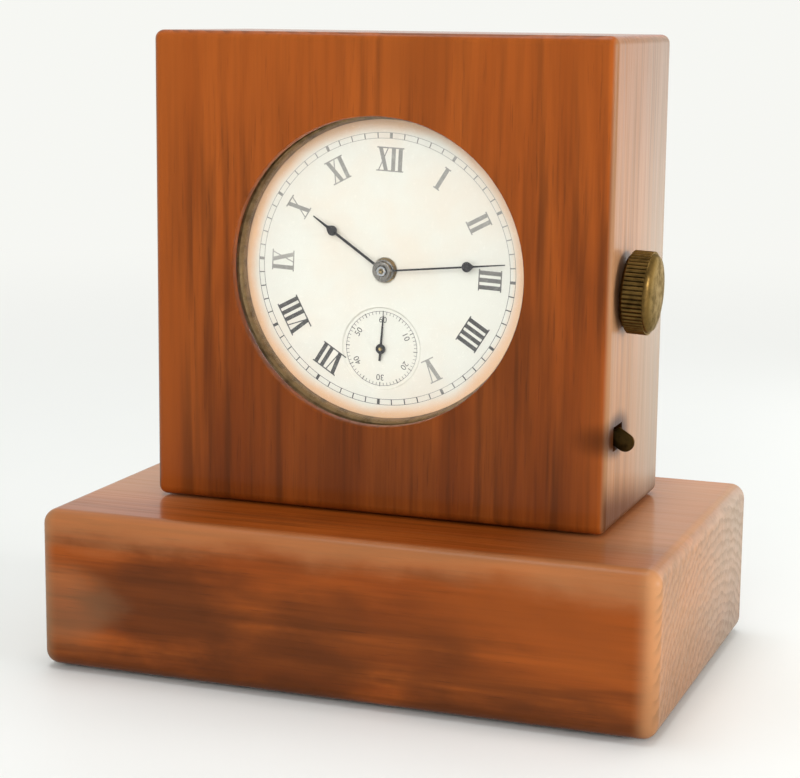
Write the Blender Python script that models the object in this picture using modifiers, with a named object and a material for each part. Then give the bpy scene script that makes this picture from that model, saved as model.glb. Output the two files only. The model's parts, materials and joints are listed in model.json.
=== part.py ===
"""A desk clock: an eight-day watch movement set in a hardwood block on a wooden base.

Metres, +Z up, the dial faces -Y, the base stands on z = 0.
Movement pieces are drawn in the movement's own frame: x to the right, y down and
z into the block, from the dial's centre on the block's front face. In that frame
a positive turn about z is clockwise as seen from the front.
"""

from math import asin, atan2, cos, hypot, pi, radians, sin, sqrt

import bmesh
import bpy
from mathutils import Matrix

# Gaps between neighbouring pieces
seat_gap = 0.0003
running_gap = 0.0003
slip_gap = 0.00015
cut_overrun = 0.002
pipe_overlap = 0.0001

# Base and feet
base_width = 0.1255
base_depth = 0.080
base_top = 0.0325
base_bottom = 0.0006
base_edge_radius = 0.0028
foot_radius = 0.006
foot_height = 0.0012
foot_inset = 0.012
screw_spacing = 0.056
counterbore_radius = 0.0042
counterbore_depth = 0.014

# Train: the barrel's module, the other modules as shares of it, and the teeth
barrel_module = 0.000525
centre_module_share = 0.6857
third_module_share = 0.5714
fourth_module_share = 0.4190
dial_side_module_share = 0.6857
winding_module_share = 1.0419
centre_module = centre_module_share * barrel_module
third_module = third_module_share * barrel_module
fourth_module = fourth_module_share * barrel_module
cannon_module = dial_side_module_share * barrel_module
winding_module = winding_module_share * barrel_module
barrel_teeth = 48
middle_pinion_teeth = 8
middle_wheel_teeth = 32
centre_pinion_teeth = 8
centre_wheel_teeth = 48
third_pinion_teeth = 6
third_wheel_teeth = 45
fourth_pinion_teeth = 6
fourth_wheel_teeth = 60
escape_pinion_teeth = 6
escape_teeth = 15
cannon_teeth = 10
minute_wheel_teeth = 30
minute_pinion_teeth = 8
hour_wheel_teeth = 32
setting_wheel_teeth = 20
crown_teeth = 18
ratchet_teeth = 36
winding_pinion_teeth = 8
contrate_teeth = 16
contrate_radius = 0.0042

# Tooth shape, in modules and in shares of the pitch
wheel_tooth = (0.8, 1.2, 0.50, 0.0)
pinion_tooth = (0.7, 1.2, 0.34, 0.20)

# Plates: the barrel lies between the centre arbor and the plate's rim
barrel_gap = 0.00138
plate_rim = 0.00308
barrel_tip_radius = (barrel_teeth / 2 + wheel_tooth[0]) * barrel_module
barrel_reach = barrel_tip_radius + barrel_gap
front_plate_radius = barrel_reach + barrel_tip_radius + plate_rim
plate_step = 0.0025
back_plate_radius = front_plate_radius - plate_step
pivot_hole_radius = 0.0006
pivot_radius = 0.0003
arbor_radius = 0.00045
pillar_radius = 0.0022
pillar_inset = 0.0030
pillar_ring_radius = back_plate_radius - pillar_inset
pillar_angles = [radians(a) for a in (-108, -165, 95, 15)]
pillar_bore_radius = 0.0012
pillar_bore_depth = 0.0030

# Bores of the block, from the movement outwards
plate_fit = 0.0004
lip_width = 0.0009
clamp_seat_width = 0.0056
cover_seat_width = 0.0045
plate_bore_radius = front_plate_radius + plate_fit
lip_radius = plate_bore_radius - lip_width
wide_bore_radius = plate_bore_radius + clamp_seat_width
cover_bore_radius = wide_bore_radius + cover_seat_width
stem_bore_radius = 0.0013

# Depths behind the block's front face
lip_depth = 0.0019
crystal_thickness = 0.0012
ring_thickness = 0.0023
dial_thickness = 0.0010
under_dial_space = 0.0017
front_plate_thickness = 0.0028
plate_space = 0.0075
back_plate_thickness = 0.0020
cover_space = 0.0177
cover_recess = 0.0040
crystal_front = lip_depth + seat_gap
crystal_back = crystal_front + crystal_thickness
ring_front = crystal_back + seat_gap
ring_back = ring_front + ring_thickness
dial_front = ring_back + seat_gap
dial_back = dial_front + dial_thickness
front_plate_front = dial_back + under_dial_space
front_plate_back = front_plate_front + front_plate_thickness
back_plate_front = front_plate_back + plate_space
back_plate_back = back_plate_front + back_plate_thickness
cover_front = back_plate_back + cover_space
pillar_back = back_plate_front - seat_gap

# Wooden block
block_side_wall = 0.0060
block_end_wall = 0.00575
block_width = 2 * (cover_bore_radius + block_side_wall)
block_height = 2 * (cover_bore_radius + block_end_wall)
block_depth = cover_front + cover_recess
block_setback = 0.0205
block_edge_radius = 0.0016
block_bottom = base_top + seat_gap
block_front = -base_depth / 2 + block_setback

# Dial's centre and the movement's lean
dial_rise = 0.00095
dial_height = block_bottom + block_height / 2 + dial_rise
movement_lean = radians(2.4)

# Depths of the train's wheels: front face and back face
cock_thickness = 0.0012
cock_front = back_plate_back + seat_gap
cock_depths = (cock_front, cock_front + cock_thickness)

# Depths of the work under the dial

# Hands: depths, reach and the time that the photo shows, clockwise from twelve
minute_hand_angle = radians(82)
hour_hand_angle = radians(302)
seconds_hand_angle = radians(2)
seconds_offset_share = 0.5115
seconds_offset = seconds_offset_share * front_plate_radius
seconds_dial_radius = 0.0083
seconds_dial_sink = 0.0003

# Places between the plates, as shares of the space from the front plate to the back plate
centre_wheel_shares = (0.0467, 0.1067)
third_pinion_shares = (0.04, 0.1267)
contrate_shares = (0.06, 0.1533)
crown_shares = (0.1467, 0.2533)
barrel_shares = (0.2933, 0.7733)
barrel_rim_front_share = 0.6667
middle_pinion_shares = (0.64, 0.7867)
middle_wheel_shares = (0.8533, 0.92)
centre_pinion_shares = (0.8267, 0.9467)
third_wheel_shares = (0.64, 0.6933)
fourth_pinion_shares = (0.6133, 0.7133)
fourth_wheel_shares = (0.32, 0.3733)
escape_pinion_shares = (0.2933, 0.4)
escape_wheel_shares = (0.48, 0.5333)
balance_shares = (0.7467, 0.9067)
roller_shares = (0.5733, 0.6133)
barrel_hub_shares = (0.4, 0.6667)
barrel_cover_shares = (0.7133, 0.7667)
mainspring_shares = (0.4067, 0.66)
impulse_pin_front_share = 0.4533
crown_head_shares = (0.0933, 0.1333)
crown_recess_share = 0.1733
click_spring_shares = (0.1333, 0.2133)

# Places under the dial, as shares of the space from the dial to the front plate
hour_wheel_shares = (0.1765, 0.4412)
minute_wheel_shares = (0.6176, 0.8529)
setting_shares = (0.4118, 0.8235)
post_front_share = 0.0588

# Places over the dial, as shares of the space from the glass to the dial
minute_hand_shares = (0.3103, 0.4138)
hour_hand_shares = (0.5862, 0.6897)
seconds_hand_shares = (0.8621, 0.931)
cannon_front_share = 0.2414
hour_pipe_front_share = 0.5172
fourth_arbor_front_share = 0.7586

# Winding and setting
stem_depth = (front_plate_front + front_plate_back) / 2
stem_radius = 0.00075
knob_radius = 0.0080
knob_length = 0.0060
knob_gap = 0.0006
lever_travel = 0.0030
lever_angle = radians(30)

# Winding row: places along the stem
winding_pinion_share = 0.6328
winding_pinion_place = winding_pinion_share * front_plate_radius
winding_pinion_length = 0.0026
winding_pinion_ends = (
    winding_pinion_place - winding_pinion_length / 2,
    winding_pinion_place + winding_pinion_length / 2,
)
clutch_gap = 0.0006
clutch_length = 0.0034
clutch_outer = winding_pinion_ends[0] - clutch_gap
clutch_ends = (clutch_outer - clutch_length, clutch_outer)
groove_inset = 0.0008
groove_width = 0.0012
clutch_groove = (clutch_outer - groove_inset - groove_width, clutch_outer - groove_inset)
window_inner_margin = 0.0016
window_outer_margin = 0.0018
window_inner = clutch_ends[0] - window_inner_margin
window_outer = winding_pinion_ends[1] + window_outer_margin
pilot_length = 0.0028
stem_inner = window_inner - pilot_length
yoke_shift = 0.0002
yoke_offset = 0.0064
yoke_place = (sum(clutch_groove) / 2 + yoke_shift, yoke_offset)

# Places on the plate, as shares of its radius
balance_place_shares = (-0.5738, 0.2951)
click_place_shares = (-0.2131, -0.623)
click_spring_foot_place_shares = (-0.459, -0.4918)
cock_foot_place_shares = (-0.3016, 0.1311)
cock_screw_place_shares = (-0.2885, 0.1049)

# Segments of turned pieces
large_segments = 48
middle_segments = 24
small_segments = 12

# Meshing
weld_distance = 0.000001
smooth_angle = radians(35)

def on_plate(shares):
    return (shares[0] * front_plate_radius, shares[1] * front_plate_radius)


def at_shares(shares, front, space):
    """Depths at the given shares of a space, counted from its front."""
    return tuple(front + share * space for share in shares)


# Depths that follow from the shares
over_dial_space = dial_front - crystal_back
centre_wheel_depths = at_shares(centre_wheel_shares, front_plate_back, plate_space)
third_pinion_depths = at_shares(third_pinion_shares, front_plate_back, plate_space)
contrate_depths = at_shares(contrate_shares, front_plate_back, plate_space)
crown_depths = at_shares(crown_shares, front_plate_back, plate_space)
barrel_depths = at_shares(barrel_shares, front_plate_back, plate_space)
barrel_rim_front = front_plate_back + barrel_rim_front_share * plate_space
middle_pinion_depths = at_shares(middle_pinion_shares, front_plate_back, plate_space)
middle_wheel_depths = at_shares(middle_wheel_shares, front_plate_back, plate_space)
centre_pinion_depths = at_shares(centre_pinion_shares, front_plate_back, plate_space)
third_wheel_depths = at_shares(third_wheel_shares, front_plate_back, plate_space)
fourth_pinion_depths = at_shares(fourth_pinion_shares, front_plate_back, plate_space)
fourth_wheel_depths = at_shares(fourth_wheel_shares, front_plate_back, plate_space)
escape_pinion_depths = at_shares(escape_pinion_shares, front_plate_back, plate_space)
escape_wheel_depths = at_shares(escape_wheel_shares, front_plate_back, plate_space)
balance_depths = at_shares(balance_shares, front_plate_back, plate_space)
roller_depths = at_shares(roller_shares, front_plate_back, plate_space)
barrel_hub_depths = at_shares(barrel_hub_shares, front_plate_back, plate_space)
barrel_cover_depths = at_shares(barrel_cover_shares, front_plate_back, plate_space)
mainspring_depths = at_shares(mainspring_shares, front_plate_back, plate_space)
impulse_pin_front = front_plate_back + impulse_pin_front_share * plate_space
crown_head_depths = at_shares(crown_head_shares, front_plate_back, plate_space)
crown_recess = front_plate_back + crown_recess_share * plate_space
click_spring_depths = at_shares(click_spring_shares, front_plate_back, plate_space)
hour_wheel_depths = at_shares(hour_wheel_shares, dial_back, under_dial_space)
minute_wheel_depths = at_shares(minute_wheel_shares, dial_back, under_dial_space)
setting_depths = at_shares(setting_shares, dial_back, under_dial_space)
post_front = dial_back + post_front_share * under_dial_space
minute_hand_depths = at_shares(minute_hand_shares, crystal_back, over_dial_space)
hour_hand_depths = at_shares(hour_hand_shares, crystal_back, over_dial_space)
seconds_hand_depths = at_shares(seconds_hand_shares, crystal_back, over_dial_space)
cannon_front = crystal_back + cannon_front_share * over_dial_space
hour_pipe_front = crystal_back + hour_pipe_front_share * over_dial_space
fourth_arbor_front = crystal_back + fourth_arbor_front_share * over_dial_space


def empty_file():
    for thing in list(bpy.data.objects):
        bpy.data.objects.remove(thing, do_unlink=True)


def new_collection(name):
    made = bpy.data.collections.new(name)
    bpy.context.scene.collection.children.link(made)
    return made


def new_material(name, colour, roughness, metallic=0.0):
    made = bpy.data.materials.new(name)
    made.use_nodes = True
    shader = made.node_tree.nodes["Principled BSDF"]
    shader.inputs["Base Color"].default_value = (*colour, 1.0)
    shader.inputs["Roughness"].default_value = roughness
    shader.inputs["Metallic"].default_value = metallic
    return made


def shade_round(data):
    """Smooth shading, with the sharp edges kept sharp."""
    data.shade_smooth()
    data.set_sharp_from_angle(angle=smooth_angle)


def kept(data, name, parent, material, location=(0, 0, 0), rotation=(0, 0, 0)):
    """Puts a mesh into the part as a named piece with a material of its own."""
    colour, roughness, metallic = material
    data.materials.clear()
    data.materials.append(new_material(name + "_finish", colour, roughness, metallic))
    shade_round(data)
    piece = bpy.data.objects.new(name, data)
    part_pieces.objects.link(piece)
    piece.parent = parent
    piece.location = location
    piece.rotation_euler = rotation
    return piece


def cutter(data, name, parent=None, location=(0, 0, 0), rotation=(0, 0, 0)):
    """Keeps a mesh out of sight, to be cut from or joined to another piece."""
    tool = bpy.data.objects.new(name, data)
    cutters.objects.link(tool)
    tool.hide_render = True
    tool.display_type = "WIRE"
    tool.parent = parent
    tool.location = location
    tool.rotation_euler = rotation
    return tool


def combine(piece, tools, operation):
    for tool in tools:
        step = piece.modifiers.new(tool.name, "BOOLEAN")
        step.operation = operation
        step.solver = "EXACT"
        step.object = tool


def cut(piece, *tools):
    combine(piece, tools, "DIFFERENCE")


def join(piece, *tools):
    combine(piece, tools, "UNION")


def evaluated_mesh(piece):
    """The mesh of an object with its modifiers, welded; the object is removed."""
    if piece.name not in bpy.context.scene.collection.all_objects:
        bpy.context.scene.collection.objects.link(piece)
    bpy.context.view_layer.update()
    graph = bpy.context.evaluated_depsgraph_get()
    data = bpy.data.meshes.new_from_object(piece.evaluated_get(graph))
    bpy.data.objects.remove(piece, do_unlink=True)
    shape = bmesh.new()
    shape.from_mesh(data)
    bmesh.ops.remove_doubles(shape, verts=shape.verts, dist=weld_distance)
    bmesh.ops.recalc_face_normals(shape, faces=shape.faces)
    shape.to_mesh(data)
    shape.free()
    return data


def flat(outlines, depths):
    """A plate with the given outlines, the first one outside and the rest holes."""
    front, back = depths
    curve = bpy.data.curves.new("outline", "CURVE")
    curve.dimensions = "2D"
    curve.fill_mode = "BOTH"
    curve.extrude = (back - front) / 2
    for outline in outlines:
        line = curve.splines.new("POLY")
        line.points.add(len(outline) - 1)
        for point, (x, y) in zip(line.points, outline):
            point.co = (x, y, 0, 1)
        line.use_cyclic_u = True
    data = evaluated_mesh(bpy.data.objects.new("outline", curve))
    data.transform(Matrix.Translation((0, 0, (front + back) / 2)))
    return data


def turned(profile, segments):
    """A profile of (radius, z) points turned about z; it starts and ends on the axis or closes."""
    data = bpy.data.meshes.new("profile")
    count = len(profile)
    on_axis = profile[0][0] == 0 and profile[-1][0] == 0
    edges = [(i, i + 1) for i in range(count - 1)]
    if not on_axis:
        edges.append((count - 1, 0))
    data.from_pydata([(r, 0, z) for r, z in profile], edges, [])
    piece = bpy.data.objects.new("profile", data)
    turn = piece.modifiers.new("turn", "SCREW")
    turn.axis = "Z"
    turn.steps = segments
    turn.render_steps = segments
    turn.use_merge_vertices = True
    turn.merge_threshold = weld_distance
    return evaluated_mesh(piece)


def rod(radius, low, high, segments=None):
    return turned([(0, high), (radius, high), (radius, low), (0, low)], segments or small_segments)


def stepped(stages, segments=None):
    """A turned rod from (radius, from, to) stages, given from its low end up."""
    profile = [(0, stages[-1][2])]
    for radius, low, high in reversed(stages):
        profile += [(radius, high), (radius, low)]
    profile.append((0, stages[0][1]))
    return turned(profile, segments or small_segments)


def tube(outer, inner, low, high, segments=None):
    profile = [(outer, high), (outer, low), (inner, low), (inner, high)]
    return turned(profile, segments or small_segments)


def box(width, depth, height, centre=(0, 0, 0)):
    shape = bmesh.new()
    bmesh.ops.create_cube(shape, size=1)
    bmesh.ops.scale(shape, vec=(width, depth, height), verts=shape.verts)
    bmesh.ops.translate(shape, vec=centre, verts=shape.verts)
    data = bpy.data.meshes.new("box")
    shape.to_mesh(data)
    shape.free()
    return data


def repeated(data, matrices):
    """Copies of a mesh, one at each matrix, as one mesh of separate solids."""
    shape = bmesh.new()
    for matrix in matrices:
        copy = data.copy()
        copy.transform(matrix)
        shape.from_mesh(copy)
        bpy.data.meshes.remove(copy)
    made = bpy.data.meshes.new("repeated")
    shape.to_mesh(made)
    shape.free()
    return made


def copies(data, name, matrices, parent, material):
    """A named piece at each matrix, all with the same mesh and finish."""
    colour, roughness, metallic = material
    data.materials.append(new_material(name + "_finish", colour, roughness, metallic))
    shade_round(data)
    for number, matrix in enumerate(matrices, 1):
        piece = bpy.data.objects.new(f"{name}_{number}", data)
        part_pieces.objects.link(piece)
        piece.parent = parent
        piece.location = matrix.to_translation()
        piece.rotation_euler = matrix.to_euler()


def moved(places, z=0.0):
    return [Matrix.Translation((x, y, z)) for x, y in places]


def circle(radius, segments, x=0.0, y=0.0):
    turns = [2 * pi * (i + 0.5) / segments for i in range(segments)]
    return [(x + radius * cos(a), y + radius * sin(a)) for a in turns]


def arc(radius, start, end, steps, x=0.0, y=0.0):
    turns = [start + (end - start) * i / steps for i in range(steps + 1)]
    return [(x + radius * cos(a), y + radius * sin(a)) for a in turns]


def gear_outline(teeth, module, tooth, phase):
    addendum, dedendum, root_share, tip_share = tooth
    pitch_radius = teeth * module / 2
    tip = pitch_radius + addendum * module
    root = pitch_radius - dedendum * module
    pitch = 2 * pi / teeth
    tips = [(tip, 0)] if tip_share == 0 else [(tip, -tip_share / 2), (tip, tip_share / 2)]
    corners = [(root, -root_share / 2)] + tips + [(root, root_share / 2)]
    outline = []
    for tooth_number in range(teeth):
        middle = phase + tooth_number * pitch
        for radius, share in corners:
            angle = middle + share * pitch
            outline.append((radius * cos(angle), radius * sin(angle)))
    return outline


def meshing_phase(from_place, from_teeth, from_phase, to_place, to_teeth):
    """The phase that puts a gap of the second gear at the first gear's tooth."""
    direction = atan2(to_place[1] - from_place[1], to_place[0] - from_place[0])
    offset = (direction - from_phase) * from_teeth / (2 * pi)
    return direction + pi - (0.5 - offset) * 2 * pi / to_teeth


# Spoked wheels
spoke_arc_steps = 4
rim_width = 0.0011
hub_radius = 0.0018
spoke_width = 0.0009
spoke_count = 5


def spoke_holes(inner, outer, spokes, spoke_width):
    """Openings between the spokes of a wheel."""
    holes = []
    for i in range(spokes):
        middle = 2 * pi * (i + 0.5) / spokes
        half = pi / spokes
        wide = half - asin(spoke_width / 2 / outer)
        narrow = half - asin(spoke_width / 2 / inner)
        holes.append(
            arc(outer, middle - wide, middle + wide, spoke_arc_steps)
            + arc(inner, middle + narrow, middle - narrow, 1)
        )
    return holes


def spoked_wheel(teeth, module, depths, phase):
    root = teeth * module / 2 - wheel_tooth[1] * module
    outlines = [gear_outline(teeth, module, wheel_tooth, phase)]
    outlines += spoke_holes(hub_radius, root - rim_width, spoke_count, spoke_width)
    return flat(outlines, depths)


def pinion(teeth, module, depths, phase):
    return flat([gear_outline(teeth, module, pinion_tooth, phase)], depths)


def between(first, first_distance, second, second_distance, side):
    """The point at the given distances from two points, on the chosen side."""
    dx = second[0] - first[0]
    dy = second[1] - first[1]
    span = hypot(dx, dy)
    along = (first_distance**2 - second_distance**2 + span**2) / (2 * span)
    across = side * sqrt(first_distance**2 - along**2)
    return (
        first[0] + (dx * along - dy * across) / span,
        first[1] + (dy * along + dx * across) / span,
    )


def pair_distance(first_teeth, second_teeth, module):
    return (first_teeth + second_teeth) * module / 2


# Places of the arbors in the movement's frame: x to the right, y down
centre = (0.0, 0.0)
fourth = (0.0, seconds_offset)
third = between(
    centre,
    pair_distance(centre_wheel_teeth, third_pinion_teeth, centre_module),
    fourth,
    pair_distance(third_wheel_teeth, fourth_pinion_teeth, third_module),
    1,
)
escape_direction = radians(160)
escape_distance = pair_distance(fourth_wheel_teeth, escape_pinion_teeth, fourth_module)
escape = (
    fourth[0] + escape_distance * cos(escape_direction),
    fourth[1] + escape_distance * sin(escape_direction),
)
balance = on_plate(balance_place_shares)
pallet_distance = 0.0050
pallet_direction = atan2(balance[1] - escape[1], balance[0] - escape[0])
pallet = (
    escape[0] + pallet_distance * cos(pallet_direction),
    escape[1] + pallet_distance * sin(pallet_direction),
)
crown = (winding_pinion_place - contrate_radius, 0.0)
barrel = between(
    centre,
    barrel_reach,
    crown,
    pair_distance(crown_teeth, ratchet_teeth, winding_module),
    -1,
)
middle = between(
    centre,
    pair_distance(middle_wheel_teeth, centre_pinion_teeth, barrel_module),
    barrel,
    pair_distance(barrel_teeth, middle_pinion_teeth, barrel_module),
    -1,
)
minute_distance = pair_distance(cannon_teeth, minute_wheel_teeth, cannon_module)
minute_direction = radians(-40)
minute_place = (
    minute_distance * cos(minute_direction),
    minute_distance * sin(minute_direction),
)
minute_pinion_module = 2 * minute_distance / (hour_wheel_teeth + minute_pinion_teeth)
setting_distance = pair_distance(minute_wheel_teeth, setting_wheel_teeth, cannon_module)
setting_place_share = 0.3049
setting_place_x = setting_place_share * front_plate_radius
setting_place = (
    setting_place_x,
    minute_place[1] + sqrt(setting_distance**2 - (setting_place_x - minute_place[0]) ** 2),
)

# Finishes: colour, roughness and metallic
wood = ((0.36, 0.12, 0.035), 0.3, 0.0)
felt = ((0.03, 0.06, 0.035), 0.9, 0.0)
brass = ((0.72, 0.52, 0.22), 0.3, 1.0)
gilt = ((0.80, 0.62, 0.30), 0.28, 1.0)
steel = ((0.56, 0.57, 0.58), 0.25, 1.0)
blued = ((0.03, 0.04, 0.09), 0.25, 1.0)
bronze = ((0.16, 0.11, 0.05), 0.4, 1.0)
enamel = ((0.90, 0.90, 0.86), 0.15, 0.0)
glass = ((0.90, 0.94, 0.94), 0.05, 0.0)


# Screws
slot_width_share = 0.18
slot_depth_share = 0.45
screw_segments = 9


def screw_mesh(head_radius, head_height, shank_radius, shank_length):
    """A slotted screw along z: its head stands on z = 0 and its shank runs to -z."""
    stages = [(shank_radius, -shank_length, 0), (head_radius, 0, head_height)]
    body = stepped(stages, screw_segments)
    piece = bpy.data.objects.new("screw", body)
    slot_depth = slot_depth_share * head_height
    slot = box(
        2 * head_radius + cut_overrun,
        2 * slot_width_share * head_radius,
        2 * slot_depth,
        (0, 0, head_height),
    )
    tool = bpy.data.objects.new("slot", slot)
    bpy.context.scene.collection.objects.link(tool)
    cut(piece, tool)
    data = evaluated_mesh(piece)
    bpy.data.objects.remove(tool, do_unlink=True)
    return data


base_screw_size = (0.0036, 0.0022, 0.0018, 0.030)
base_screw_hole_radius = 0.0021
cover_screw_size = (0.0017, 0.0010, 0.0009, 0.008)
cover_screw_hole_radius = 0.0012
clamp_screw_size = (0.0017, 0.0009, 0.0008, 0.006)
clamp_screw_hole_radius = 0.0011
plate_screw_size = (0.0019, 0.0010, 0.0009, 0.0040)
plate_screw_hole_radius = 0.0012
small_screw_size = (0.0014, 0.0008, 0.0006, 0.0026)
small_screw_hole_radius = 0.0009
screw_hole_slack = 0.0005
hole_segments = 8


# Wooden base and block

foot_recess_slack = 0.0003
foot_segments = 16
base_bevel_segments = 3
block_bevel_segments = 3


def foot_places():
    x = base_width / 2 - foot_inset
    y = base_depth / 2 - foot_inset
    return [(sx * x, sy * y) for sx in (-1, 1) for sy in (-1, 1)]


def base_screw_places():
    middle_y = block_front + block_depth / 2
    return [(side * screw_spacing / 2, middle_y) for side in (-1, 1)]


def rounded_box(name, width, depth, height, centre, radius, segments):
    piece = kept(box(width, depth, height, centre), name, None, wood)
    bevel = piece.modifiers.new("rounded_edges", "BEVEL")
    bevel.width = radius
    bevel.segments = segments
    bevel.limit_method = "ANGLE"
    return piece


def build_base():
    height = base_top - base_bottom
    middle_z = (base_top + base_bottom) / 2
    piece = rounded_box(
        "base_block",
        base_width,
        base_depth,
        height,
        (0, 0, middle_z),
        base_edge_radius,
        base_bevel_segments,
    )
    recess = foot_height + foot_recess_slack
    for number, (x, y) in enumerate(foot_places()):
        hole = rod(foot_radius + foot_recess_slack, -cut_overrun, recess, foot_segments)
        cut(piece, cutter(hole, f"foot_recess_{number}", None, (x, y, 0)))
    for number, (x, y) in enumerate(base_screw_places()):
        hole = stepped(
            [
                (counterbore_radius, -cut_overrun, counterbore_depth),
                (base_screw_hole_radius, counterbore_depth, base_top + cut_overrun),
            ]
        )
        cut(piece, cutter(hole, f"base_screw_bore_{number}", None, (x, y, 0)))


def build_feet():
    pad = rod(foot_radius, 0, foot_height, foot_segments)
    copies(pad, "felt_foot", moved(foot_places()), None, felt)


def base_screw_bite():
    """How far a base screw reaches into the block."""
    return counterbore_depth - seat_gap + base_screw_size[3] - block_bottom


def build_base_screws():
    data = screw_mesh(*base_screw_size)
    head_seat = counterbore_depth - seat_gap
    turn = Matrix.Rotation(pi, 4, "X")
    places = [place @ turn for place in moved(base_screw_places(), head_seat)]
    copies(data, "base_screw", places, None, steel)


along_stem = (0, radians(90), 0)
lever_slot_height = 0.0040
lever_slot_depths = (0.0050, 0.0116)
clamp_thickness = 0.0012
clamp_length = 0.0072
clamp_width = 0.0056
cover_thickness = 0.0022
clamp_screw_reach = 0.0030
clamp_middle_reach = 0.0019
clamp_ring_radius = front_plate_radius + clamp_screw_reach
clamp_middle_radius = front_plate_radius + clamp_middle_reach
clamp_angles = [radians(a) for a in (-60, 120)]
cover_screw_ring = (wide_bore_radius + cover_bore_radius) / 2
cover_screw_angles = [radians(a) for a in (-90, 30, 150)]


def ring_places(radius, angles):
    return [(radius * cos(a), radius * sin(a)) for a in angles]


def cover_screw_positions():
    return ring_places(cover_screw_ring, cover_screw_angles)


def block_cutters():
    """The stepped bore, the stem's hole, the lever's slot and the screw holes."""
    tools = []
    bore = stepped(
        [
            (lip_radius, -cut_overrun, lip_depth),
            (plate_bore_radius, lip_depth, front_plate_back),
            (wide_bore_radius, front_plate_back, cover_front),
            (cover_bore_radius, cover_front, block_depth + cut_overrun),
        ],
        large_segments,
    )
    tools.append(cutter(bore, "movement_bore", movement))
    stem_hole = rod(stem_bore_radius, lip_radius, block_width / 2 + cut_overrun)
    tools.append(cutter(stem_hole, "stem_bore", movement, (0, 0, stem_depth), along_stem))
    slot = box(
        block_width / 2,
        lever_slot_height,
        lever_slot_depths[1] - lever_slot_depths[0],
        (lip_radius + block_width / 4, 0, sum(lever_slot_depths) / 2),
    )
    tools.append(cutter(slot, "lever_slot", movement, (0, 0, 0), (0, 0, lever_angle)))
    clamp_hole = rod(
        clamp_screw_hole_radius,
        front_plate_back + clamp_thickness + 2 * seat_gap - clamp_screw_size[3] - screw_hole_slack,
        front_plate_back + cut_overrun,
        hole_segments,
    )
    for number, (x, y) in enumerate(ring_places(clamp_ring_radius, clamp_angles)):
        tools.append(cutter(clamp_hole, f"clamp_screw_bore_{number}", movement, (x, y, 0)))
    return tools


def build_block():
    middle_y = block_front + block_depth / 2
    middle_z = block_bottom + block_height / 2
    piece = rounded_box(
        "case_block",
        block_width,
        block_depth,
        block_height,
        (0, middle_y, middle_z),
        block_edge_radius,
        block_bevel_segments,
    )
    cut(piece, *block_cutters())
    for number, (x, y) in enumerate(base_screw_places()):
        top = block_bottom + base_screw_bite() + screw_hole_slack
        hole = rod(base_screw_hole_radius, base_top - cut_overrun, top, hole_segments)
        cut(piece, cutter(hole, f"block_screw_bore_{number}", None, (x, y, 0)))
    for number, (x, y) in enumerate(cover_screw_positions()):
        deep = cover_front + seat_gap + cover_thickness + seat_gap - cover_screw_size[3]
        hole = rod(
            cover_screw_hole_radius, deep - screw_hole_slack, cover_front + cut_overrun, hole_segments
        )
        cut(piece, cutter(hole, f"cover_screw_bore_{number}", movement, (x, y, 0)))


# Glass, ring, dial and hands

crystal_radius = plate_bore_radius - seat_gap
ring_inner_front = lip_radius
ring_slope = 0.0007
ring_inner_back = ring_inner_front - ring_slope
dial_radius = front_plate_radius
dial_hole_radius = 0.0024
seconds_hole_radius = 0.0008
foot_ring_inset = 0.0040
foot_ring_radius = dial_radius - foot_ring_inset
dial_foot_angles = [radians(a) for a in (-75, 50, 170)]
dial_foot_radius = 0.0005
dial_foot_length = 0.0032
dial_foot_end = dial_back + dial_foot_length


def build_crystal():
    disc = rod(crystal_radius, crystal_front, crystal_back, large_segments)
    kept(disc, "crystal", movement, glass)


def build_dial_ring():
    profile = [
        (crystal_radius, ring_front),
        (crystal_radius, ring_back),
        (ring_inner_back, ring_back),
        (ring_inner_front, ring_front),
    ]
    kept(turned(profile, large_segments), "dial_ring", movement, bronze)


def build_dial():
    disc = tube(dial_radius, dial_hole_radius, dial_front, dial_back, large_segments)
    piece = kept(disc, "dial", movement, enamel)
    feet = repeated(
        rod(dial_foot_radius, dial_back - pipe_overlap, dial_foot_end, hole_segments),
        moved(ring_places(foot_ring_radius, dial_foot_angles)),
    )
    join(piece, cutter(feet, "dial_feet", movement))
    sink_floor = dial_front + seconds_dial_sink
    sink = rod(seconds_dial_radius, dial_front - cut_overrun, sink_floor, middle_segments)
    hole = rod(seconds_hole_radius, dial_front, dial_back + cut_overrun, hole_segments)
    cut(
        piece,
        cutter(sink, "seconds_sink", movement, (*fourth, 0)),
        cutter(hole, "seconds_hole", movement, (*fourth, 0)),
    )


hour_boss = 0.0022
minute_boss = 0.0018
seconds_boss = 0.0010
hour_pipe_radius = 0.0016
cannon_radius = 0.0010
seconds_hand_reach = 0.0068
seconds_hand_tail = 0.0024
seconds_half_width = 0.00022
boss_arc_steps = 12
bulb_arc_steps = 6
hour_hand_shape = (0.0130, 0.0011, 0.00025, 0.0178)
minute_hand_shape = (0.0175, 0.0010, 0.00018, 0.0252)
tip_half_width = 0.0001
neck_share = 0.75


def spade_outline(boss, shape):
    """A hand along +x: boss, narrow stem, round bulb and a fine point."""
    bulb_place, bulb, half_stem, reach = shape
    opening = asin(half_stem / boss)
    side = arc(boss, opening, pi, boss_arc_steps)
    stem_meets = asin(half_stem / bulb)
    upper_bulb = arc(bulb, pi - stem_meets, radians(50), bulb_arc_steps, bulb_place)
    point = [(bulb_place + bulb / neck_share, half_stem), (reach, tip_half_width)]
    upper = list(reversed(side)) + upper_bulb + point
    lower = [(x, -y) for x, y in reversed(upper[1:])]
    return upper + lower


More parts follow.
